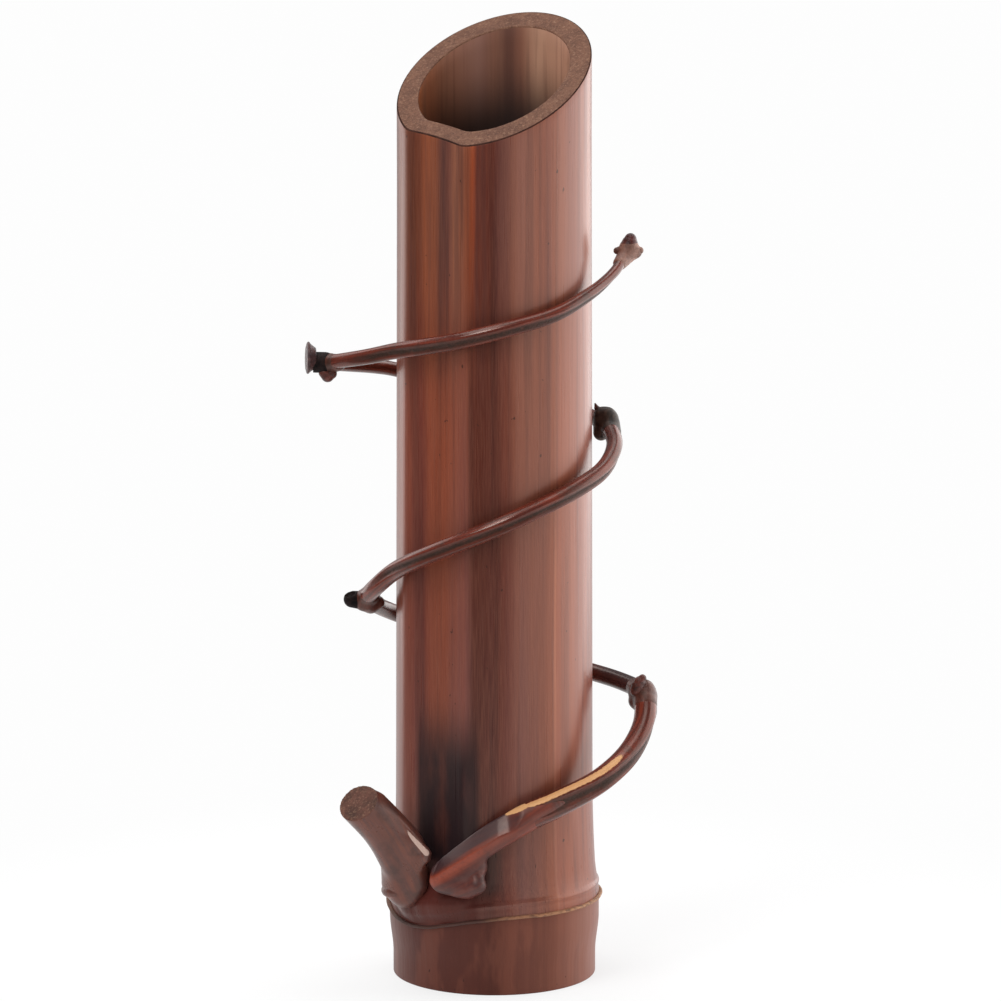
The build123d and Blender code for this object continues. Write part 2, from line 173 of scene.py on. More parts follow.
def grooved_radius(angle, radius, depth, hollow_radius, shoulder_radius):
    """Radius of a round section with one shallow groove, at angles from the groove's middle."""
    hollow_reach = radius - depth + hollow_radius
    shoulder_reach = radius - shoulder_radius
    span = hollow_radius + shoulder_radius
    spread = np.arccos((shoulder_reach**2 + hollow_reach**2 - span**2) / (2 * shoulder_reach * hollow_reach))
    lip = np.arctan2(shoulder_reach * np.sin(spread) * hollow_radius / span,
                     hollow_reach + (shoulder_reach * np.cos(spread) - hollow_reach) * hollow_radius / span)
    off = np.abs(angle)
    hollow = hollow_reach * np.cos(off) - np.sqrt(np.maximum(hollow_radius**2 - (hollow_reach * np.sin(off))**2, 0))
    past = off - spread
    shoulder = shoulder_reach * np.cos(past) + np.sqrt(
        np.maximum(shoulder_radius**2 - (shoulder_reach * np.sin(past))**2, 0))
    return np.where(off < lip, hollow, np.where(off < spread, shoulder, radius))


def smooth_step(value, low, high):
    """Nought at low, one at high, smooth between."""
    share = np.clip((value - low) / (high - low), 0, 1)
    return share * share * (3 - 2 * share)


def within(value, low, rise, fall, high):
    """One between two smooth slopes and nought outside them."""
    return smooth_step(value, low, rise) * (1 - smooth_step(value, fall, high))


def curve_through(points, step=line_step):
    """A smooth line through points, evenly divided."""
    points = np.array(points, float)
    ends = np.vstack([2 * points[0] - points[1], points, 2 * points[-1] - points[-2]])
    knots = np.concatenate([[0], np.cumsum(np.linalg.norm(np.diff(ends, axis=0), axis=1) ** 0.5)])
    line = []
    for index in range(1, len(ends) - 2):
        before, start, end, after = ends[index - 1:index + 3]
        k0, k1, k2, k3 = knots[index - 1:index + 3]
        for k in np.linspace(k1, k2, 40, endpoint=False):
            a1 = ((k1 - k) * before + (k - k0) * start) / (k1 - k0)
            a2 = ((k2 - k) * start + (k - k1) * end) / (k2 - k1)
            a3 = ((k3 - k) * end + (k - k2) * after) / (k3 - k2)
            b1 = ((k2 - k) * a1 + (k - k0) * a2) / (k2 - k0)
            b2 = ((k3 - k) * a2 + (k - k1) * a3) / (k3 - k1)
            line.append(((k2 - k) * b1 + (k - k1) * b2) / (k2 - k1))
    line.append(points[-1])
    return evened(np.array(line), step)


def run_lengths(line):
    return np.concatenate([[0], np.cumsum(np.linalg.norm(np.diff(line[:, :3], axis=0), axis=1))])


def evened(line, step):
    """The same line in even steps."""
    lengths = run_lengths(line)
    count = max(int(round(lengths[-1] / step)), 2)
    stations = np.linspace(0, lengths[-1], count + 1)
    return np.stack([np.interp(stations, lengths, column) for column in line.T], axis=1)


def softened(values, reach):
    """Values along a line, averaged over a reach of stations, with both ends kept."""
    window = np.exp(-0.5 * (np.arange(-3 * reach, 3 * reach + 1) / reach) ** 2)
    window /= window.sum()
    first, last = values[:1], values[-1:]
    pad = 3 * reach
    long = np.concatenate([2 * first - values[pad:0:-1], values, 2 * last - values[-2:-pad - 2:-1]])
    return np.stack([np.convolve(long[:, axis], window, "valid") for axis in range(values.shape[1])], axis=1)


def unit(vectors):
    return vectors / np.maximum(np.linalg.norm(vectors, axis=-1, keepdims=True), 1e-12)


# Meshes

def scene_object(name, data):
    """A new object of the scene."""
    made = bpy.data.objects.new(name, data)
    bpy.context.scene.collection.objects.link(made)
    return made


def mesh_piece(name, vertices, faces, materials, face_slots=None):
    """A smooth-shaded mesh object from plain lists."""
    mesh = bpy.data.meshes.new(name)
    mesh.from_pydata([tuple(vertex) for vertex in vertices], [], faces)
    for material in materials:
        mesh.materials.append(material)
    if face_slots is not None:
        mesh.polygons.foreach_set("material_index", np.array(face_slots, np.int32))
    mesh.polygons.foreach_set("use_smooth", [True] * len(mesh.polygons))
    mesh.update()
    return scene_object(name, mesh)


def ring_faces(rows, columns):
    """Quads of a grid whose rows are rings."""
    faces = []
    for base in range(0, (rows - 1) * columns, columns):
        for column in range(columns):
            after = (column + 1) % columns
            faces.append((base + column, base + after, base + columns + after, base + columns + column))
    return faces


def tube_piece(name, rings, material):
    """A closed tube through rings of points, with its ends closed by fans."""
    rows, columns = rings.shape[:2]
    last = (rows - 1) * columns
    low_centre, high_centre = rows * columns, rows * columns + 1
    pairs = [(column, (column + 1) % columns) for column in range(columns)]
    faces = ring_faces(rows, columns)
    faces += [(low_centre, after, column) for column, after in pairs]
    faces += [(high_centre, last + column, last + after) for column, after in pairs]
    return mesh_piece(name, [*rings.reshape(-1, 3), rings[0].mean(0), rings[-1].mean(0)], faces, [material])


def swept_rings(line, radii, shares):
    """Rings round a line. Shares of the radius are given by station and by angle, from outward down."""
    tangents = unit(np.gradient(line, axis=0))
    outward = line * (1, 1, 0)
    across = unit(outward - tangents * (outward * tangents).sum(1, keepdims=True))
    over = np.cross(tangents, across)
    angles = full_turn(shares.shape[1])[None, :, None]
    reach = (radii[:, None] * shares)[..., None]
    return line[:, None] + reach * (np.cos(angles) * across[:, None] + np.sin(angles) * over[:, None])


def chain_distance(points, chain):
    """Distance from points to a chain of round links, each a place and a radius."""
    places = np.array([link[:3] for link in chain], float)
    radii = np.array([link[3] for link in chain], float)
    if len(chain) == 1:
        return np.linalg.norm(points - places[0], axis=-1) - radii[0]
    nearest = None
    for start, end, first, last in zip(places, places[1:], radii, radii[1:]):
        run = end - start
        share = np.clip(((points - start) @ run) / (run @ run), 0, 1)
        distance = np.linalg.norm(points - start - share[..., None] * run, axis=-1) - first - (last - first) * share
        nearest = distance if nearest is None else np.minimum(nearest, distance)
    return nearest


def melted(first, second, reach):
    """Two distances joined with a soft fillet."""
    share = np.clip(0.5 + 0.5 * (second - first) / reach, 0, 1)
    return second * (1 - share) + first * share - reach * share * (1 - share)


def skin_of(field, low, high, cell):
    """The surface where a field of distances is nought, as smooth quads."""
    low = np.array(low)
    coarse = 4
    blocks = np.ceil((np.array(high) - low) / (cell * coarse)).astype(int) + 1
    counts = blocks * coarse
    steps = [low[axis] + cell * np.arange(counts[axis]) for axis in range(3)]
    middles = [axis_steps.reshape(-1, coarse).mean(1) for axis_steps in steps]
    rough = field(np.stack(np.meshgrid(*middles, indexing="ij"), axis=-1))
    values = rough.repeat(coarse, 0).repeat(coarse, 1).repeat(coarse, 2)
    near = np.argwhere(np.abs(values) < 1.3 * cell * coarse)
    values[tuple(near.T)] = field(low + cell * near)
    cells = counts - 1
    sums = np.zeros((int(np.prod(cells)), 3))
    hits = np.zeros(int(np.prod(cells)))
    quads = []
    for axis in range(3):
        near = np.take(values, range(counts[axis] - 1), axis)
        far = np.take(values, range(1, counts[axis]), axis)
        edge = np.argwhere((near < 0) != (far < 0))
        first, last = near[tuple(edge.T)], far[tuple(edge.T)]
        crossing = edge.astype(float)
        crossing[:, axis] += first / (first - last)
        others = [(axis + 1) % 3, (axis + 2) % 3]
        keep = (edge[:, others] > 0).all(1) & (edge[:, others] < cells[others]).all(1)
        edge, crossing, first = edge[keep], crossing[keep], first[keep]
        ring = []
        for back, side in ((1, 1), (0, 1), (0, 0), (1, 0)):
            place_of = edge.copy()
            place_of[:, others[0]] -= back
            place_of[:, others[1]] -= side
            flat = np.ravel_multi_index(place_of.T, cells)
            np.add.at(sums, flat, crossing)
            np.add.at(hits, flat, 1)
            ring.append(flat)
        ring = np.stack(ring, axis=1)
        quads.append(np.where((first < 0)[:, None], ring, ring[:, ::-1]))
    used = np.nonzero(hits)[0]
    index = np.zeros(len(hits), int)
    index[used] = np.arange(len(used))
    vertices = np.array(low) + cell * sums[used] / hits[used][:, None]
    return vertices, index[np.concatenate(quads)]


def melted_piece(name, chains, blends, materials, cell=0.35 * mm, shape=None, first_shape=None):
    """One smooth body from chains of round links, melted together and trimmed by a shape."""
    chains = [smooth_chain(chain) for chain in chains]
    blends = [blends] * len(chains) if isinstance(blends, float) else blends
    links = np.array([link for chain in chains for link in chain], float)
    margin = links[:, 3:].max() + 2 * cell
    low = links[:, :3].min(0) - margin
    high = links[:, :3].max(0) + margin

    def field(points):
        distance = chain_distance(points, chains[0])
        if first_shape:
            distance = first_shape(points, distance)
        for chain, blend in zip(chains[1:], blends[1:]):
            distance = melted(distance, chain_distance(points, chain), blend)
        return distance if shape is None else shape(points, distance)

    vertices, faces = skin_of(field, low, high, cell)
    return mesh_piece(name, vertices, [tuple(face) for face in faces.tolist()], materials)


def smooth_chain(links, step=1.6 * mm):
    """The same chain with its kinks rounded off."""
    return [tuple(link) for link in curve_through(links, step)] if len(links) > 2 else list(links)


def links_in_mm(base, links):
    """Links written in millimetres from a base place."""
    return [(*(np.array(base) + np.array(link[:3]) * mm), link[3] * mm) for link in links]


def links_round(places):
    """Links written as turn, reach, height and radius, in degrees and millimetres."""
    return [(*around(turn, reach * mm, height * mm), radius * mm) for turn, reach, height, radius in places]


def points_of(piece):
    return np.array([vertex.co for vertex in piece.data.vertices])


def set_values(piece, name, values):
    """Gives each vertex a number or a vector that the materials read by name."""
    kind = "FLOAT_VECTOR" if values.ndim == 2 else "FLOAT"
    attribute = piece.data.attributes.new(name, kind, "POINT")
    attribute.data.foreach_set("vector" if values.ndim == 2 else "value", values.reshape(-1).astype(np.float32))


def set_ring_values(piece, name, values):
    """The same for a tube, from values by station and angle. The centres of its ends get nought."""
    flat = values.reshape(-1, *values.shape[2:])
    set_values(piece, name, np.concatenate([flat, np.zeros((2, *flat.shape[1:]))]))


def set_grain_along(piece, direction, sooty=0.0):
    """Grain of a melted piece, which runs along one direction."""
    places = points_of(piece)
    run = unit(np.array(direction, float))
    side = unit(np.cross(run, (0.2, 1.0, 0.1)))
    set_values(piece, "grain", np.stack([places @ run, places @ side, np.full(len(places), sooty)], axis=1))


def place(piece, slot, *nodes):
    """The piece rides on the vase and stands for its nodes, which it hides. Its slot is not used."""
    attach(piece, "root")
    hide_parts(*nodes)


# Materials

class Nodes:
    """A short way to write a material's nodes."""

    def __init__(self, name):
        self.material = bpy.data.materials.new(name)
        self.material.use_nodes = True
        self.tree = self.material.node_tree
        self.tree.nodes.clear()
        self.shader = self.tree.nodes.new("ShaderNodeBsdfPrincipled")
        output = self.tree.nodes.new("ShaderNodeOutputMaterial")
        self.link(self.shader.outputs[0], output.inputs["Surface"])
        self.place = self.add("ShaderNodeTexCoord").outputs["Object"]

    def add(self, kind, **settings):
        node = self.tree.nodes.new(kind)
        for key, value in settings.items():
            setattr(node, key, value)
        return node

    def link(self, source, target):
        if isinstance(source, (int, float, tuple)):
            target.default_value = source
        else:
            self.tree.links.new(source, target)

    def math(self, operation, first, second=0.0, third=0.0):
        node = self.add("ShaderNodeMath", operation=operation)
        for value, socket in zip((first, second, third), node.inputs):
            self.link(value, socket)
        return node.outputs[0]

    def times(self, first, second):
        return self.math("MULTIPLY", first, second)

    def scaled(self, scale, source=None):
        """Places in millimetres, stretched by a scale on each axis."""
        node = self.add("ShaderNodeVectorMath", operation="MULTIPLY")
        self.link(source or self.place, node.inputs[0])
        node.inputs[1].default_value = tuple(value / mm for value in scale)
        return node.outputs[0]

    def noise(self, scale, detail=2.0, roughness=0.5, source=None):
        node = self.add("ShaderNodeTexNoise")
        self.link(self.scaled(scale, source), node.inputs["Vector"])
        node.inputs["Scale"].default_value = 1.0
        node.inputs["Detail"].default_value = detail
        node.inputs["Roughness"].default_value = roughness
        return node.outputs["Fac"]

    def range(self, value, low, high, to_low=0.0, to_high=1.0):
        node = self.add("ShaderNodeMapRange", interpolation_type="SMOOTHSTEP")
        for source, socket in zip((value, low, high, to_low, to_high), node.inputs):
            self.link(source, socket)
        return node.outputs[0]

    def turned(self, turn, low, high):
        """A smooth step between two turns, in degrees."""
        return self.range(turn, turn_share(low), turn_share(high))

    def ramp(self, turn, stops):
        """Colours round the culm. Each stop is a turn in degrees with a colour as on screen."""
        node = self.add("ShaderNodeValToRGB")
        elements = node.color_ramp.elements
        while len(elements) < len(stops):
            elements.new(0.5)
        for element, (degrees, *colour) in zip(elements, stops):
            element.position = turn_share(degrees)
            element.color = (*linear(*colour), 1)
        self.link(turn, node.inputs[0])
        return node.outputs[0]

    def mix(self, share, first, second, blend="MIX"):
        """Mixes two colours. Three plain numbers are a colour as on screen, four are the shader's own."""
        node = self.add("ShaderNodeMix", data_type="RGBA", blend_type=blend)
        self.link(share, node.inputs[0])
        for value, socket in ((first, node.inputs[6]), (second, node.inputs[7])):
            on_screen = isinstance(value, tuple) and len(value) == 3
            self.link((*linear(*value), 1) if on_screen else value, socket)
        return node.outputs[2]

    def tinted(self, colour, *factors):
        return self.mix(1.0, colour, (*factors, 1), "MULTIPLY")

    def carried(self, name):
        """A number that the vertices carry."""
        return self.add("ShaderNodeAttribute", attribute_name=name).outputs["Fac"]

    def turn(self):
        """The turn round the culm, from 0 at the back through 0.5 at the front to 1."""
        split = self.add("ShaderNodeSeparateXYZ")
        self.link(self.place, split.inputs[0])
        backward = self.times(split.outputs[1], -1.0)
        angle = self.math("ARCTAN2", split.outputs[0], backward)
        return self.math("MULTIPLY_ADD", angle, 0.5 / pi, 0.5), split.outputs[2]

    def bump(self, height, depth, strength=1.0, before=None):
        node = self.add("ShaderNodeBump")
        self.link(strength, node.inputs["Strength"])
        node.inputs["Distance"].default_value = depth
        self.link(height, node.inputs["Height"])
        if before:
            self.link(before, node.inputs["Normal"])
        return node.outputs[0]

    def finish(self, colour, roughness, normal=None, specular=None, tint=(1, 1, 1)):
        inputs = self.shader.inputs
        self.link(colour, inputs["Base Color"])
        self.link(roughness, inputs["Roughness"])
        if specular is not None:
            self.link(specular, inputs["Specular IOR Level"])
        inputs["Specular Tint"].default_value = (*tint, 1)
        if normal:
            self.link(normal, inputs["Normal"])
        return self.material


def linear(*values):
    """A colour picked on screen, as the shader wants it."""
    shares = [value / 255 for value in values]
    return tuple(share / 12.92 if share <= 0.04045 else ((share + 0.055) / 1.055) ** 2.4 for share in shares)


def turn_share(turn):
    return 0.5 + turn / 360


def culm_skin():
    """Smoked bamboo skin: red-brown, streaked along the culm, darker and lighter by side, with painted light and shade
    among those colours.
    """
    n = Nodes("culm_skin")
    turn, height = n.turn()
    waver = n.noise((0.03, 0.03, 0.008))
    side = n.math("ADD", turn, n.math("MULTIPLY_ADD", waver, 0.012, -0.006))
    # Colours by side: the skin's own tone with painted light in it. The narrow bright stop near turn 37 is a painted
    # highlight line, the dark band from about turn -12 to 8 is painted shade, and the right side is a little lighter
    # and pinker as painted sheen. The ramp for the upper culm below does the same.
    base = n.ramp(side, [
        (-180, 120, 62, 42), (-100, 118, 58, 40), (-66, 118, 58, 42), (-57, 112, 52, 38), (-52, 104, 44, 32),
        (-46, 126, 60, 38), (-34, 126, 60, 38), (-24, 126, 64, 46), (-16.5, 122, 66, 52), (-12.5, 78, 32, 22),
        (-6, 76, 31, 22), (2, 92, 42, 30), (8, 102, 50, 38), (13, 120, 68, 52), (30, 114, 62, 46),
        (36.6, 128, 70, 50), (37.6, 156, 96, 72), (38.8, 134, 74, 56), (62, 136, 78, 60), (78, 118, 62, 50),
        (180, 120, 62, 42),
    ])
    high = n.ramp(side, [
        (-180, 120, 62, 42), (-62, 104, 52, 32), (-54, 90, 42, 26), (-49, 130, 68, 42), (-42, 124, 66, 42),
        (-36, 84, 48, 42), (-30, 92, 50, 42), (-25, 128, 76, 54), (-18, 126, 70, 48), (-15, 140, 68, 38),
        (-12, 138, 60, 30), (-10, 90, 36, 24), (-1, 84, 34, 24), (4, 92, 54, 48), (14, 126, 78, 64),
        (30, 120, 66, 50), (45, 132, 78, 62), (62, 138, 84, 68), (180, 120, 62, 42),
    ])
    base = n.mix(n.range(height, 205 * mm, 285 * mm), base, high)
    plum = n.times(n.range(height, 230 * mm, 90 * mm), n.turned(turn, 40, 12))
    base = n.mix(plum, base, n.tinted(base, 0.72, 0.8, 1.05))
    broad = n.noise((0.12, 0.12, 0.0035), roughness=0.6)
    band = n.noise((0.3, 0.3, 0.005))
    thin = n.noise((1.3, 1.3, 0.02), detail=3.0, roughness=0.65)
    fibre = n.noise((5.0, 5.0, 0.08))
    colour = n.mix(n.range(broad, 0.42, 0.62, 0.0, 0.4), base, n.tinted(base, 1.12, 0.96, 0.7))
    colour = n.mix(n.range(broad, 0.5, 0.3, 0.0, 0.55), colour, n.tinted(colour, 0.7, 0.7, 0.86))
    colour = n.mix(n.range(band, 0.45, 0.66, 0.0, 0.6), colour, n.tinted(colour, 0.5, 0.5, 0.62))
    colour = n.mix(n.range(thin, 0.5, 0.78, 0.0, 0.2), colour, (64, 34, 30))
    colour = n.mix(n.range(fibre, 0.35, 0.7, 0.0, 0.14), colour, (160, 104, 82))
    mottle = n.noise((0.1, 0.1, 0.03), detail=3.0)
    near = n.times(n.turned(turn, -58, -54), n.turned(side, -7, -12))
    low = n.times(n.range(height, 112 * mm, 82 * mm), near)
    sooty = n.times(low, n.range(mottle, 0.2, 0.5, 0.72, 1.0))
    colour = n.mix(sooty, colour, (36, 25, 27))
    # Painted shade: darker, mottled skin under the bases of both branches, below 42 to 50 mm.
    under = n.times(n.range(height, 50 * mm, 42 * mm), n.turned(turn, 6, -12))
    under = n.times(under, n.turned(turn, -100, -80))
    colour = n.mix(n.times(under, 0.85), colour, n.mix(mottle, (56, 28, 26), (92, 40, 32)))
    # Painted shadow: dark streaks on the culm just right of the elbow's heel.
    painted_heel_shadow = n.times(n.range(height, 60 * mm, 52 * mm), n.range(height, 35 * mm, 41 * mm))
    painted_heel_shadow = n.times(painted_heel_shadow, n.times(n.turned(turn, -16, -8), n.turned(turn, 9, -1)))
    colour = n.mix(n.times(painted_heel_shadow, n.range(thin, 0.3, 0.6, 0.95, 0.6)), colour, (40, 24, 24))
    dip = n.math("MAXIMUM", n.turned(turn, scar_dip_turn, scar_dip_turn + 60),
                 n.turned(turn, scar_dip_turn, scar_dip_turn - 60))
    lip = n.math("MULTIPLY_ADD", dip, scar_dip, scar_height - scar_dip)
    dull = n.range(n.math("SUBTRACT", height, lip), 0.8 * mm, -0.2 * mm)
    # The foot's own duller tone, painted darker below the branches as shade and lighter towards the right as a painted
    # sheen.
    foot = n.ramp(turn, [
        (-180, 92, 50, 40), (-66, 92, 54, 46), (-50, 74, 38, 33), (2, 72, 35, 28), (10, 92, 50, 40),
        (34, 104, 60, 48), (48, 128, 82, 68), (75, 140, 96, 84), (180, 92, 50, 40),
    ])
    foot = n.mix(n.range(band, 0.42, 0.6, 0.0, 0.2), foot, n.tinted(foot, 0.62, 0.6, 0.7))
    foot = n.mix(n.range(mottle, 0.5, 0.62, 0.0, 0.3), foot, (124, 72, 56))
    colour = n.mix(n.times(dull, 0.85), colour, foot)
    specks = n.noise((0.5, 0.5, 0.35), detail=1.0)
    colour = n.mix(n.range(specks, 0.77, 0.8, 0.0, 0.8), colour, (40, 22, 18))
    upper = n.times(n.range(height, 190 * mm, 270 * mm), n.turned(turn, -72, -60))
    upper = n.times(upper, n.turned(turn, 10, -4))
    stripe = n.noise((0.24, 0.24, 0.007), detail=3.0, roughness=0.6)
    stain = n.times(upper, n.range(stripe, 0.48, 0.62))
    colour = n.mix(n.times(stain, 0.4), colour, (66, 40, 38))
    ridges = n.bump(band, 0.3 * mm, 0.4)
    grain = n.bump(thin, 0.1 * mm, 0.25, ridges)
    roughness = n.range(thin, 0.3, 0.7, 0.27, 0.36)
    roughness = n.math("ADD", roughness, n.times(dull, 0.12))
    specular = n.math("MULTIPLY_ADD", n.math("MAXIMUM", dull, sooty), -0.34, 0.64)
    return n.finish(colour, roughness, grain, specular, (1.0, 0.7, 0.6))


def cut_wood(name, pale, dark):
    """Sawn bamboo: fibre ends as fine dots in an evenly brown ground."""
    n = Nodes(name)
    dots = n.add("ShaderNodeTexVoronoi")
    n.link(n.scaled((1.5, 1.5, 1.5)), dots.inputs["Vector"])
    dot = n.range(dots.outputs["Distance"], 0.1, 0.5)
    patch = n.noise((0.16, 0.16, 0.16), detail=5.0, roughness=0.7)
    colour = n.mix(n.range(patch, 0.3, 0.7), dark, pale)
    darker = (*(value * 0.4 for value in linear(*dark)), 1)
    colour = n.mix(n.math("MULTIPLY_ADD", dot, -0.4, 0.4), colour, darker)
    fine = n.noise((1.0, 1.0, 1.0), detail=4.0, roughness=0.75)
    colour = n.mix(n.range(fine, 0.5, 0.72, 0.0, 0.5), colour, (160, 124, 100))
    colour = n.mix(n.range(fine, 0.46, 0.3, 0.0, 0.6), colour, (50, 32, 26))
    rough = n.bump(fine, 0.25 * mm, 0.5, n.bump(dot, 0.1 * mm, 0.4))
    return n.finish(colour, 0.75, rough, specular=0.3)


def inner_wall():
    """Bare inside of the culm: brown with soft lengthwise streaks, with painted light and shade round its walls, and
    darker with depth as painted shade.
    """
    n = Nodes("inner_wall")
    turn = n.turn()[0]
    wide = n.noise((0.12, 0.12, 0.004))
    thin = n.noise((0.5, 0.5, 0.02))
    # Colours round the bore paint its light: lighter side walls where light falls in, and a darker back and front as
    # painted shade.
    base = n.ramp(turn, [
        (-180, 110, 68, 54), (-168, 138, 98, 84), (-140, 152, 100, 76), (-105, 168, 96, 58), (-60, 120, 68, 44),
        (0, 76, 48, 38), (60, 122, 84, 66), (105, 168, 122, 100), (145, 172, 130, 106), (158, 124, 80, 62),
        (170, 84, 50, 40), (180, 110, 68, 54),
    ])
    # Depth under the slanted plane of the mouth
    slope = n.add("ShaderNodeVectorMath", operation="DOT_PRODUCT")
    n.link(n.place, slope.inputs[0])
    high = around(mouth_high_turn, tan(radians(mouth_tilt)))
    slope.inputs[1].default_value = (high[0], high[1], -1)
    depth = n.math("ADD", slope.outputs["Value"], mouth_axis_height)
    colour = n.mix(n.range(wide, 0.4, 0.65, 0.0, 0.4), base, (140, 98, 78))
    colour = n.mix(n.range(thin, 0.45, 0.7, 0.0, 0.3), colour, (84, 52, 42))
    shade = n.range(depth, 8 * mm, 36 * mm, 0.0, 0.92)
    colour = n.mix(shade, colour, (26, 17, 15))
    return n.finish(colour, 0.5, n.bump(thin, 0.15 * mm, 0.25), specular=0.4)


def branch_skin(name, skin, channel, sheen, gloss=0.3, streaks=1.0, scrape_and_highlight_colours=((184, 132, 82), (208, 160, 112)),
                wear_and_glint=(138, 56, 34)):
    """Skin of a thin branch: glossy and mottled, dull and sooty where it is hollow, pale where scraped, with painted
    highlights and painted shade where a piece carries them.
    """
    n = Nodes(name)
    split = n.add("ShaderNodeSeparateXYZ")
    n.link(n.add("ShaderNodeAttribute", attribute_name="grain").outputs["Vector"], split.inputs[0])
    grain = n.add("ShaderNodeCombineXYZ")
    n.link(split.outputs[0], grain.inputs[0])
    n.link(split.outputs[1], grain.inputs[1])
    streak = n.noise((0.04, 0.6, 0.0), 3.0, 0.6, grain.outputs[0])
    patch = n.noise((0.14, 0.14, 0.14), detail=3.0, roughness=0.6)
    colour = n.mix(n.range(streak, 0.5 - 0.12 / streaks, 0.52 + 0.14 / streaks), skin, sheen)
    colour = n.mix(n.range(patch, 0.5, 0.72, 0.0, 0.65), colour, channel)
    pits = n.noise((0.9, 0.9, 0.9), detail=3.0, roughness=0.7)
    sooty = n.times(split.outputs[2], n.range(pits, 0.25, 0.6, 0.7, 1.0))
    colour = n.mix(sooty, colour, channel)
    # Painted shade: darker where a piece carries it.
    painted_shade = n.carried("painted_shade")
    colour = n.mix(n.times(painted_shade, 0.85), colour, (46, 32, 36))
    # The warm mark: on the elbow a painted highlight line along its ridge, orange like its tip; on the ring of the
    # sawn branch its reddish lower band.
    warm = n.carried("warm")
    colour = n.mix(n.times(warm, n.range(pits, 0.25, 0.55, 0.3, 0.75)), colour, wear_and_glint)
    # Pale where scraped, and pale as a painted highlight where a piece carries one.
    scrape_and_highlight = n.carried("scrape_and_highlight")
    ragged = n.range(n.math("ADD", scrape_and_highlight, n.math("MULTIPLY_ADD", pits, 0.5, -0.25)), 0.4, 0.6)
    colour = n.mix(ragged, colour, n.mix(streak, *scrape_and_highlight_colours))
    fine = n.noise((1.6, 1.6, 1.6))
    rough = n.bump(pits, 0.35 * mm, n.math("MULTIPLY_ADD", split.outputs[2], 0.7, 0.08), n.bump(fine, 0.08 * mm, 0.25))
    roughness = n.math("MULTIPLY_ADD", split.outputs[2], 0.25, n.range(patch, 0.3, 0.7, gloss, gloss + 0.12))
    roughness = n.math("MULTIPLY_ADD", ragged, 0.25, roughness)
    return n.finish(colour, roughness, rough, n.math("MULTIPLY_ADD", sooty, -0.4, 0.62), (1.0, 0.8, 0.72))


def plain_wood(name, light, dark, roughness=0.6, grain=1.0, specular=0.4):
    """Small dark wood parts: mottled, with a fine rough surface."""
    n = Nodes(name)
    patch = n.noise((0.4 * grain, 0.4 * grain, 0.4 * grain), detail=4.0, roughness=0.6)
    fine = n.noise((2.5 * grain, 2.5 * grain, 2.5 * grain), detail=3.0)
    colour = n.mix(n.range(patch, 0.32, 0.68), dark, light)
    rough = n.bump(fine, 0.2 * mm, 0.5, n.bump(patch, 0.3 * mm, 0.5))
    return n.finish(colour, roughness, rough, specular=specular)


def scar_wood():
    """The scar's lip, rubbed thin: dark under the branches as painted shade, pale and fibrous on the open side."""
    n = Nodes("scar_wood")
    turn = n.turn()[0]
    patch = n.noise((0.5, 0.5, 1.2), detail=4.0, roughness=0.6)
    # Painted shade: the lip is darker from turn -60 to -8, under the branches.
    open_side = n.ramp(turn, [
        (-180, 140, 98, 70), (-100, 120, 82, 60), (-60, 62, 40, 34), (-8, 66, 40, 34), (8, 136, 94, 68),
        (60, 172, 122, 84), (180, 140, 98, 70),
    ])
    colour = n.mix(n.range(patch, 0.3, 0.62, 0.75, 0.0), open_side, (70, 42, 34))
    return n.finish(colour, 0.6, n.bump(patch, 0.2 * mm, 0.5), specular=0.4)


skin_material = culm_skin()
rim_material = cut_wood("sawn_rim", (112, 76, 58), (88, 56, 42))
bore_material = inner_wall()
scar_material = scar_wood()
branch_material = branch_skin("branch_skin", (74, 28, 20), (46, 33, 27), (108, 44, 30), 0.19)
elbow_material = branch_skin("elbow_skin", (76, 33, 27), (48, 28, 28), (112, 46, 30), 0.36, 0.6)
knuckle_material = branch_skin("knuckle_skin", (76, 36, 29), (46, 32, 27), (104, 54, 42), 0.24)
# The sawn branch's pale colours paint the highlight on its ridge.
stub_material = branch_skin("stub_skin", (78, 48, 44), (48, 33, 31), (102, 56, 44), 0.26, 0.7,
                             ((150, 118, 106), (206, 182, 170)))
burl_material = plain_wood("burl_wood", (74, 58, 48), (36, 27, 22), 0.5, 1.6)
dome_material = plain_wood("dome_wood", (86, 38, 34), (48, 24, 24), 0.4)
flare_material = plain_wood("flare_wood", (96, 68, 66), (54, 38, 40), 0.4)
tip_material = plain_wood("tip_wood", (150, 112, 98), (92, 60, 50), 0.5, 0.5)
dark_material = plain_wood("dark_wood", (34, 22, 20), (10, 7, 7), 0.6, 1.5, 0.12)
bud_material = plain_wood("bud_wood", (98, 50, 41), (56, 32, 28), 0.36)
edge_material = plain_wood("rim_edge", (66, 40, 32), (38, 24, 20), 0.85, 1.0, 0.1)
cut_material = cut_wood("sawn_stub", (104, 66, 54), (66, 42, 34))


# Culm

culm_columns = 480
angles = full_turn(culm_columns)
turns = np.degrees(angles)
groove_angles = wrapped(angles - radians(groove_turn))


def scar_line(turn):
    """Height of the scar's lower edge, which dips in one wave under the branches."""
    off = np.radians(turn - scar_dip_turn)
    dip = scar_dip * (1 + np.cos(pi * np.sin(off))) / 2
    return scar_height - np.where(np.cos(off) > 0, dip, 0)


